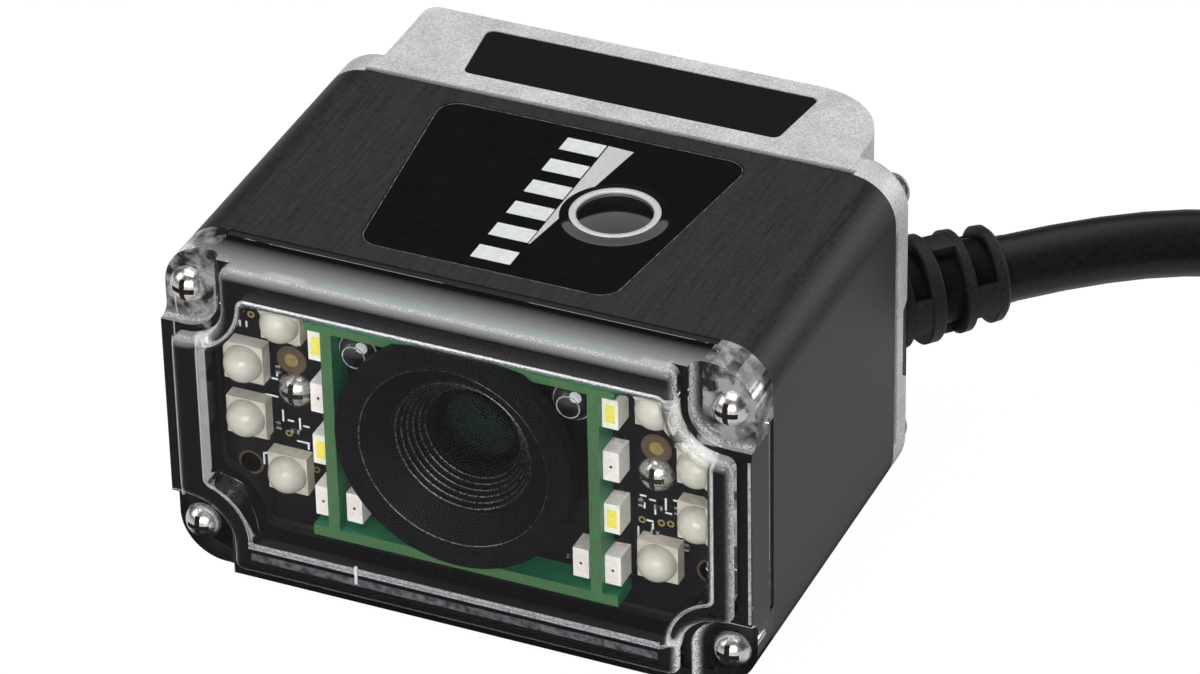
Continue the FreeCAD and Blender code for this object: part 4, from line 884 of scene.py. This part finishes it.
@dataclass
class OverlayPrint(Assembly):
    """Prints on the status overlay: silver wedge and raised ring around the button; and a painted highlight
    along its edge.
    """

    top: float = 26.45  # height of the overlay's face
    thick: float = 0.02
    wedge: tuple[Pair, ...] = ((1.55, 5.95), (3.54, 5.85), (1.6, -7.85), (1.5, -7.85))
    button: Pair = (5.55, -2.15)
    ring: Pair = (2.72, 3.28)  # inner and outer radius
    ring_rise: Pair = (0.12, 0.08)  # height of the ring's sides, and of the arch over them
    ring_steps: int = 8
    ring_sharp: float = 50.0
    emboss: Pair = (4.1, 0.16)  # radius and rise of the bulge that the ring sits on
    emboss_steps: int = 12
    film: float = 0.003  # thickness of the bulge at its foot
    tuck: float = 0.1  # how far the bulge goes in under the ring
    segments: int = 96
    halves: Pair = (9.6, 12.0)  # half width of the overlay at its front and back
    reach: Pair = (-12.1, 7.4)  # front and back edge
    corner: float = 1.6
    corner_steps: int = 8
    line: float = 0.09  # width of the painted highlight along the edge

    def outline(self, inset: float) -> list[Pair]:
        """Draws the overlay's outline, its corners rounded.

        Args:
            inset: How far it is drawn in.

        Returns:
            Points of the outline.
        """
        (front, back), (start, end) = self.halves, self.reach
        lean = (back - front) / (end - start)
        near, far = start + self.corner, end - self.corner
        slim, wide = (front + lean * (y - start) - self.corner * math.hypot(1.0, lean) for y in (near, far))
        half_turn, tilt = math.pi, math.atan(lean)
        points = []
        for x, y, first, last in ((slim, near, -half_turn / 2, -tilt), (wide, far, -tilt, half_turn / 2),
                                  (-wide, far, half_turn / 2, half_turn + tilt),
                                  (-slim, near, half_turn + tilt, 1.5 * half_turn)):
            angles = [first + (last - first) * i / self.corner_steps for i in range(self.corner_steps + 1)]
            points += [(x + (self.corner - inset) * math.cos(a), y + (self.corner - inset) * math.sin(a))
                       for a in angles]
        return points

    def build(self) -> None:
        """Makes the prints."""
        high = self.top + self.thick
        wedge = Shape().loft([[(*corner, z) for corner in self.wedge] for z in (self.top, high)], Ends.CAPPED)
        self.add("overlay_wedge", wedge, "print_silver")
        stand = Matrix.Translation((*self.button, self.top)) @ Matrix.Rotation(math.radians(-90), 4, "Y")
        inner, outer = self.ring
        middle, half = (inner + outer) / 2, (outer - inner) / 2
        sides, crown = self.ring_rise
        angles = [math.pi * i / self.ring_steps for i in range(self.ring_steps + 1)]
        arch = [(sides + crown * math.sin(a), middle - half * math.cos(a)) for a in angles]
        arch = [(0.0, inner), *arch, (0.0, outer), (0.0, inner)]
        ring = Shape(self.ring_sharp).lathe(arch, self.segments, stand)
        self.add("overlay_ring", ring, "print_silver")
        reach, rise = self.emboss
        start = outer - self.tuck
        shares = [i / self.emboss_steps for i in range(self.emboss_steps + 1)]
        slope = [(rise * (1 - smooth(s)) + self.film, start + (reach - start) * s) for s in shares]
        bulge = Shape(SOFT).lathe([(0.0, start), *slope, (0.0, reach), (0.0, start)], self.segments, stand)
        self.add("overlay_bulge", bulge, "overlay_black")
        # painted highlight along the overlay's edge
        edge = Shape().strip(self.outline(0.0), self.outline(self.line), self.top, high)
        self.add("overlay_edge", edge, "edge_dim")


@dataclass
class LedField(Assembly):
    """Fronts of the LEDs: cast domes, phosphor fields, dies and silver end caps."""

    face: float = -14.95  # plane of the domed LEDs' fronts
    domed: tuple[Pair, Pair] = ((14.2, 6.35), (17.25, 2.3))  # place and rise of inner and outer domed LEDs
    level: float = 14.25  # height that the domed LEDs lie around
    dome: Pair = (1.46, 1.35)  # radius and height
    dome_steps: int = 14
    skin: float = 0.02  # how far a front stands proud of the body's own
    small_face: float = -15.65  # plane of the small LEDs' fronts
    small_x: float = 11.12
    low_x: float = 8.7  # place of the two small LEDs inside the baffle
    small_rows: tuple[float, ...] = (19.9, 15.533, 11.167, 6.8)
    field: Pair = (0.72, 1.45)  # width and height
    die: float = 0.11  # radius
    die_segments: int = 16
    cap: Point = (0.8, 0.5, 0.35)  # width, depth and height
    board: float = -13.85  # front of the LED board
    half_small: float = 1.2
    aim: Point = (8.1, -14.6, 19.85)  # place of the aiming LEDs' dies
    aim_die: float = 0.3  # radius
    aim_foot: float = -14.65  # depth where the aiming LEDs' domes start
    aim_rims: tuple[Pair, ...] = ((1.42, -0.48), (0.85, -1.24))  # radius and rise of the rings painted on them as reflections
    aim_wire: float = 0.04  # half thickness
    segments: int = 40

    def small_places(self, *rows: int) -> list[Point]:
        """Middles of the fronts of the small LEDs in some rows."""
        return [(side * self.small_x, self.small_face, self.small_rows[row]) for side in SIDES for row in rows]

    def dome_shape(self) -> Shape:
        """Makes one dome, its base at the origin and its top towards the front.

        Returns:
            The dome.
        """
        radius, height = self.dome
        ball = (radius ** 2 + height ** 2) / (2 * height) + self.skin
        low = ball - self.skin - height
        angles = [math.acos(low / ball) * i / self.dome_steps for i in range(self.dome_steps + 1)]
        profile = [(low - ball * math.cos(a), ball * math.sin(a)) for a in angles]
        return Shape(SOFT).lathe(profile, self.segments, FRONT)

    def disc(self, radius: float, low: float, high: float) -> Shape:
        """Small round die that faces the front."""
        return Shape().prism(circle(radius, self.die_segments), low, high)

    def rims(self) -> Shape:
        """Makes the rings painted as reflections on one aiming LED.

        Returns:
            The rings.
        """
        made, wire = Shape(), self.aim_wire
        for radius, rise in self.aim_rims:
            near, far = radius - wire, radius + wire
            profile = [(-wire, near), (-wire, far), (wire, far), (wire, near), (-wire, near)]
            made.lathe(profile, self.segments, Matrix.Translation((0.0, rise, 0.0)) @ FRONT)
        return made

    def build(self) -> None:
        """Makes the fronts."""
        domed = [(side * x, self.face, self.level + way * rise)
                 for side in SIDES for x, rise in self.domed for way in SIDES]
        plain = self.small_places(1, 3)
        plain += [(side * self.low_x, self.small_face, self.small_rows[3]) for side in SIDES]
        x, y, z = self.aim
        dies, feet = ([(side * x, depth, z) for side in SIDES] for depth in (y, self.aim_foot))
        tops = [(a, self.board, b + self.half_small) for a, _, b in self.small_places(0, 1, 2, 3)]
        half, tall = self.field[0] / 2, self.field[1] / 2
        low, high = (-half, -self.skin, -tall), (half, self.skin, tall)
        wide, deep, rise = self.cap
        cap = Shape().block((-wide / 2, -deep, 0.0), (wide / 2, 0.0, rise))
        for name, shape, places, finish in (
                ("led_domes", self.dome_shape(), domed, "dome_milky"),
                ("led_fields", Shape().block(low, high), self.small_places(0, 2), "phosphor_yellow"),
                ("led_windows", Shape().block(low, high), plain, "window_pink"),
                ("led_dies", self.disc(self.die, -2 * self.skin, self.skin), plain, "chip_black"),
                ("aim_dies", self.disc(self.aim_die, -self.skin, 0.0), dies, "silk_white"),
                # painted reflections on the aiming LEDs
                ("aim_rims", self.rims(), feet, "edge_pale"),
                ("led_caps", cap, tops, "screw_steel")):
            self.repeat(name, shape, places, finish)


@dataclass
class BoardPrint(Assembly):
    """What lies on the LED board: gold marks and vias, white dashes, tiny chips with silver ends."""

    face: float = -13.85  # front of the board
    thick: float = 0.02
    segments: int = 32
    marks: tuple[Pair, ...] = ((-14.0, 16.9), (13.75, 16.6))
    mark: Pair = (0.52, 1.15)  # radius of a mark's disc and of its bare ring
    vias: tuple[Pair, ...] = ((-17.0, 20.0), (-16.3, 9.85), (-14.5, 10.6), (-12.45, 8.0), (12.6, 10.35),
                              (14.05, 10.45), (14.75, 10.55))
    via: Pair = (0.14, 0.28)  # hole and rim radius
    holes: tuple[Pair, ...] = ((-17.65, 7.3), (17.65, 7.3))
    hole: Pair = (0.82, 0.98)  # hole and rim radius
    dash: float = 0.14  # width
    halves: Pair = (0.5, 0.25)  # half length of a long and of a short dash
    long: tuple[Point, ...] = (  # middle and turn of the long dashes
        (-15.7, 13.5, 90.0), (-14.9, 12.0, 0.0), (-13.6, 11.6, 0.0), (-13.4, 10.1, 90.0), (-16.6, 7.9, 0.0),
        (14.4, 12.1, 0.0), (12.3, 9.2, 0.0), (17.4, 6.7, 0.0), (18.2, 7.6, 90.0))
    short: tuple[Point, ...] = (
        (-18.3, 19.0, 0.0), (-17.9, 19.05, 0.0), (-17.4, 19.1, 0.0), (-15.4, 15.0, 90.0), (-15.2, 15.5, 0.0),
        (-14.3, 11.7, 90.0), (-13.1, 11.5, 90.0), (-13.0, 9.8, 0.0), (-16.3, 8.4, 90.0), (12.7, 12.4, 90.0),
        (13.4, 12.2, 90.0), (15.2, 12.6, 90.0), (12.8, 11.6, 0.0), (13.6, 11.3, 0.0), (14.6, 11.4, 90.0),
        (15.6, 11.5, 0.0), (13.2, 10.4, 90.0), (13.4, 10.0, 0.0), (13.3, 9.2, 0.0), (18.6, 8.1, 0.0),
        (18.0, 6.0, 90.0))
    chips: tuple[Point, ...] = (  # middle and turn of the tiny chips
        (-15.2, 11.2, 0.0), (-13.9, 11.0, 90.0), (-15.0, 16.0, 0.0), (-15.9, 17.0, 90.0), (-13.6, 18.6, 0.0),
        (12.6, 11.9, 0.0), (13.9, 11.8, 90.0), (15.3, 11.9, 0.0), (13.6, 9.6, 90.0), (8.2, 5.6, 0.0),
        (7.2, 5.9, 90.0), (8.9, 5.4, 0.0), (-17.2, 12.6, 90.0), (16.0, 9.0, 0.0))
    chip: Point = (0.36, 0.2, 0.62)
    bare: float = 0.5  # share of a chip between its ends
    swell: float = 1.05  # how much thicker its ends are

    def rings(self, name: str, radii: Pair, spots: Sequence[Pair], finish: str, ahead: float = 0.0) -> None:
        """Makes flat rings on the board.

        Args:
            name: Name of the piece.
            radii: Inner and outer radius.
            spots: Middles across and up.
            finish: Name of the finish.
            ahead: How far they lie ahead of the board.
        """
        inner, outer = radii
        profile = [(0.0, inner), (0.0, outer), (-self.thick, outer), (-self.thick, inner), (0.0, inner)]
        places = [(x, self.face - ahead, z) for x, z in spots]
        self.repeat(name, Shape().lathe(profile, self.segments, FRONT), places, finish)

    def turned(self, name: str, shape: Shape, rows: Sequence[Point], finish: str) -> None:
        """Puts copies of a shape on the board, each turned about Y."""
        places = [(x, self.face, z) for x, z, _ in rows]
        self.repeat(name, shape, places, finish, turns=[(0.0, turn, 0.0) for _, _, turn in rows])

    def build(self) -> None:
        """Makes the prints and chips."""
        disc, bare = self.mark
        self.rings("board_bare_rings", (0.0, bare), self.marks, "bare_brown")
        self.rings("board_marks", (0.0, disc), self.marks, "contact_gold", self.thick)
        self.rings("board_vias", self.via, self.vias, "contact_gold")
        self.rings("board_hole_rims", self.hole, self.holes, "bare_brown")
        half = self.dash / 2
        for name, rows, reach in zip(("long", "short"), (self.long, self.short), self.halves):
            dash = Shape().block((-half, -self.thick, -reach), (half, 0.0, reach))
            self.turned("board_dashes_" + name, dash, rows, "silk_white")
        wide, deep, tall = self.chip[0] / 2, self.chip[1], self.chip[2] / 2
        start = tall * self.bare
        middle = Shape().block((-wide, -deep, -start), (wide, 0.0, start))
        self.turned("board_chips", middle, self.chips, "chip_black")
        wide, deep = wide * self.swell, deep * self.swell
        ends = Shape()
        for low, high in ((-tall, -start), (start, tall)):
            ends.block((-wide, -deep, low), (wide, 0.0, high))
        self.turned("board_chip_ends", ends, self.chips, "screw_steel")


@dataclass
class ScrewCrossShade(Assembly):
    """Painted shade: dark sheets on the grounds of the cross recesses in the screw heads."""

    corner: Pair = (20.38, 13.243)  # place across and middle height of the corner screws
    rise: float = 10.035  # how far they lie above and below that height
    front: float = -17.45  # ground of the recesses of the window screws
    back: float = 13.25  # ground of the recesses of the cover screws
    board: Point = (13.75, 14.49, -14.25)  # place across, height and ground of the board screws' recesses
    length: float = 1.68
    width: float = 0.38
    fill: float = 0.2  # how far the painted shade reaches up

    def cross(self) -> Shape:
        """Makes one cross, its back at the origin and its face towards the front.

        Returns:
            The cross.
        """
        far, near = self.length / 2, self.width / 2
        arm = [(far, -near), (far, near), (near, near)]
        turns = [Matrix.Rotation(math.radians(90.0 * i), 2) for i in range(4)]
        outline = [tuple(turn @ Vector(corner)) for turn in turns for corner in arm]
        return Shape().prism(outline, -self.fill, 0.0)

    def build(self) -> None:
        """Makes all crosses as one piece."""
        across, middle = self.corner
        ports = [(side * across, middle + way * self.rise) for side in SIDES for way in SIDES]
        x, z, ground = self.board
        places = [(a, self.front, b) for a, b in ports] + [(side * x, ground, z) for side in SIDES]
        turns = [(0.0, 0.0, 0.0)] * len(places) + [(0.0, 0.0, 180.0)] * len(ports)
        places += [(a, self.back, b) for a, b in ports]
        # dark sheets painted as shade in the cross recesses
        self.repeat("screw_crosses", self.cross(), places, "recess_dark", turns=turns)


@dataclass
class LensTrim(Assembly):
    """Worn bright edges of the lens parts, thread rings in the bore and the ring's rim, and the ring's clip."""

    height: float = 14.49  # height of the optical axis
    mouth: float = -15.85  # plane of the first thread edge
    deep: float = 0.34  # distance between two edges
    first: float = 5.15  # radius of the first edge
    inward: float = 0.3  # how much the next edge is smaller
    count: int = 6
    wire: float = 0.011  # thickness of an edge line for each millimetre of radius
    wire_steps: int = 6
    segments: int = 72
    rim: Pair = (-17.55, 7.2)  # plane and inner radius of the front ring
    clip: Pair = (7.75, 8.15)  # inner and outer radius
    clip_arc: Pair = (130.0, 172.0)  # first and last angle
    clip_rise: float = 0.12
    clip_steps: int = 16

    def build(self) -> None:
        """Makes the clip, the thread rings and the worn rim."""
        face, inner = self.rim
        stand = Matrix.Translation((0.0, face, self.height)) @ FRONT
        clip = Shape().sector(self.clip, self.clip_arc, (-self.clip_rise, 0.0), self.clip_steps, stand)
        self.add("lens_clip", clip, "optic_black")
        places = [(0.0, self.mouth + i * self.deep, self.height) for i in range(self.count)]
        places.append((0.0, face + self.wire * inner, self.height))
        sizes = [self.first - i * self.inward for i in range(self.count)] + [inner]
        wire = circle(self.wire, self.wire_steps)
        loop = Shape(SOFT).lathe([(a, 1.0 + b) for a, b in wire + wire[:1]], self.segments, FRONT)
        self.repeat("lens_threads", loop, places, "thread_grey", sizes=sizes)


@dataclass
class EdgeGleams(Assembly):
    """Mark where the window was moulded, and painted light: pale bars inside its lower edge and up its sides,
    and a dim speckled band below them.

    Each row holds the name of the piece, half sizes, middles and finish.
    """

    rows: tuple[tuple[str, Point, tuple[Point, ...], str], ...] = (
        ("gate_mark", (0.1, 0.15, 0.725), ((-7.4, -18.85, 3.225),), "silk_white"),
        # edge_bars, edge_bands and edge_posts are painted light caught in the moulding
        ("edge_bars", (15.8, 0.06, 0.1), ((0.0, -18.9, 3.4), (0.0, -18.9, 3.7)), "edge_pale"),
        ("edge_bands", (15.6, 0.06, 0.28), ((0.0, -18.85, 2.62),), "edge_dim"),
        ("edge_posts", (0.1, 0.05, 6.7), ((22.1, -17.9, 13.1), (-20.95, -18.6, 13.1)), "edge_pale"))

    def build(self) -> None:
        """Makes the mark and the lines."""
        for name, half, places, finish in self.rows:
            self.repeat(name, Shape().block(tuple(-c for c in half), half), places, finish)


@dataclass(frozen=True)
class PhotoCamera:
    """Camera at the photograph's viewing angle."""

    back: Point = (0.34165, -0.76060, 0.55204)  # direction from the object to the camera
    right: Point = (0.91220, 0.40974, 0.0)  # level direction to the right of the view
    roll: float = 1.166
    distance: float = 436.093  # from the target
    focal: float = 6120.917  # focal length in pixels of the photograph
    width: float = 1200.0  # width of the photograph in pixels
    target: Point = (2.773, 1.05, 13.574)  # point in the middle of the view
    sensor: float = 36.0  # width in millimetres
    near: float = 0.01  # where the view starts, in metres

    def build(self) -> None:
        """Makes the camera and puts it in use."""
        data = bpy.data.cameras.new("photo_camera")
        data.sensor_width = self.sensor
        data.lens = self.focal / self.width * self.sensor
        data.clip_start = self.near
        back, right = Vector(self.back).normalized(), Vector(self.right).normalized()
        level = Matrix((right, back.cross(right), back)).transposed().to_4x4()
        place = Matrix.Translation((Vector(self.target) + self.distance * back) * MM)
        made = linked("photo_camera", data)
        made.matrix_world = place @ level @ Matrix.Rotation(-math.radians(self.roll), 4, "Z")
        bpy.context.scene.camera = made


@dataclass(frozen=True)
class Softbox:
    """Area light aimed at the reader; sizes in metres."""

    name: str
    place: Point
    size: Pair
    level: float  # share of a plain white level that it gives at the reader
    aim: Point = (0.0, 0.0, 0.013)

    def build(self) -> None:
        """Makes the light."""
        data = bpy.data.lights.new(self.name, "AREA")
        data.shape = "RECTANGLE"
        data.size, data.size_y = self.size
        way = Vector(self.aim) - Vector(self.place)
        data.energy = self.level * math.pi ** 2 * way.length_squared
        made = linked(self.name, data)
        made.location = self.place
        made.rotation_euler = way.to_track_quat("-Z", "Y").to_euler()


@dataclass(frozen=True)
class Studio:
    """Pale floor, soft lights and a dim surround."""

    floor_half: float = 2.5  # in metres
    floor_gap: float = 0.0001  # how far the floor lies under the reader in metres
    floor_white: float = 0.985  # brightness to the eye
    floor_mirrored: float = 0.65  # brightness in mirrored light
    floor_through: float = 0.35  # brightness through the clear parts
    paint: Colour = (0.8, 0.8, 0.8)  # floor as it lights the reader
    shaded: Colour = (0.025, 0.025, 0.025)  # floor as it shows the reader's shadow
    foot: Pair = (22.3, 20.0)  # half sizes of the reader's place on the floor, painted dark as shadow in mirrored and seen-through light
    shadow_fade: float = 2.0  # distance over which that painted shadow fades out beside the reader
    surround: float = 0.06  # brightness
    lights: tuple[Softbox, ...] = (
        Softbox("softbox_top", (-0.1, 0.25, 0.9), (0.9, 1.3), 0.65),
        Softbox("strip_top", (0.0, -0.3, 0.85), (0.9, 0.05), 0.15),
        Softbox("softbox_left", (-0.75, -0.45, 0.55), (0.5, 0.6), 0.2),
        Softbox("softbox_front", (0.25, -0.95, 0.35), (0.7, 0.4), 0.6),
        Softbox("softbox_right", (0.65, 0.6, 0.3), (0.6, 0.5), 0.28),
    )

    def outside_painted_shadow(self, wiring: Wiring) -> Socket:
        """Painted shadow: share from 0 under the reader to 1 where the floor is clear of it."""
        away = [wiring.minus(wiring.size(c), f) for c, f in zip(wiring.parts(wiring.millimetres()), self.foot)]
        return wiring.span(wiring.most(*away), end=self.shadow_fade)

    def floor(self, wiring: Wiring) -> Socket:
        """Wires the floor: white to the eye, with the reader's soft shadow from the lamps, and a painted shadow
        under the reader in mirrored and seen-through light.

        Args:
            wiring: Wiring of the material.

        Returns:
            The shader.
        """
        plain, dim = (wiring.node("ShaderNodeBsdfDiffuse", {"Color": c})[0] for c in (self.paint, self.shaded))
        eye, glossy, through = map(wiring.ray, ("Camera", "Glossy", "Transmission"))
        level = wiring.times(wiring.above(glossy, through), self.floor_mirrored)
        level = wiring.math("MULTIPLY_ADD", through, self.floor_through, level)
        # painted shadow: the mirrored and seen-through floor goes dark under the reader
        level = wiring.times(level, self.outside_painted_shadow(wiring))
        level = wiring.math("MULTIPLY_ADD", eye, self.floor_white, level)
        light = wiring.node("ShaderNodeEmission", {"Color": WHITE, "Strength": level})[0]
        seen = wiring.node("ShaderNodeAddShader", {0: dim, 1: light})[0]
        return wiring.either(wiring.most(eye, through, glossy), plain, seen)

    def sky(self, wiring: Wiring) -> Socket:
        """Surround that is white to the eye, but gives little light."""
        strength = wiring.span(wiring.ray("Camera"), self.surround, 1.0)
        return wiring.node("ShaderNodeBackground", {"Color": WHITE, "Strength": strength})[0]

    def build(self) -> None:
        """Makes floor, lights and surround."""
        half, low = self.floor_half, -self.floor_gap
        data = bpy.data.meshes.new("floor")
        corners = [(-half, -half, low), (half, -half, low), (half, half, low), (-half, half, low)]
        data.from_pydata(corners, [], [(0, 1, 2, 3)])
        data.materials.append(wired(bpy.data.materials.new("floor_white"), "Material", self.floor))
        linked("floor", data)
        for light in self.lights:
            light.build()
        bpy.context.scene.world = wired(bpy.data.worlds.new("surround"), "World", self.sky)
        bpy.context.scene.view_settings.view_transform = "Standard"


def main() -> None:
    """Builds the reader's looks in order."""
    logging.basicConfig(level=logging.INFO, format="%(name)s %(message)s")
    dress_nodes()
    repeater = Repeater()
    PhotoCamera().build()
    Studio().build()
    for kind in (CableCord, Boot, OverlayPrint, LedField, BoardPrint, ScrewCrossShade, LensTrim, EdgeGleams):
        kind(repeater).build()


if __name__ == "__main__":
    main()
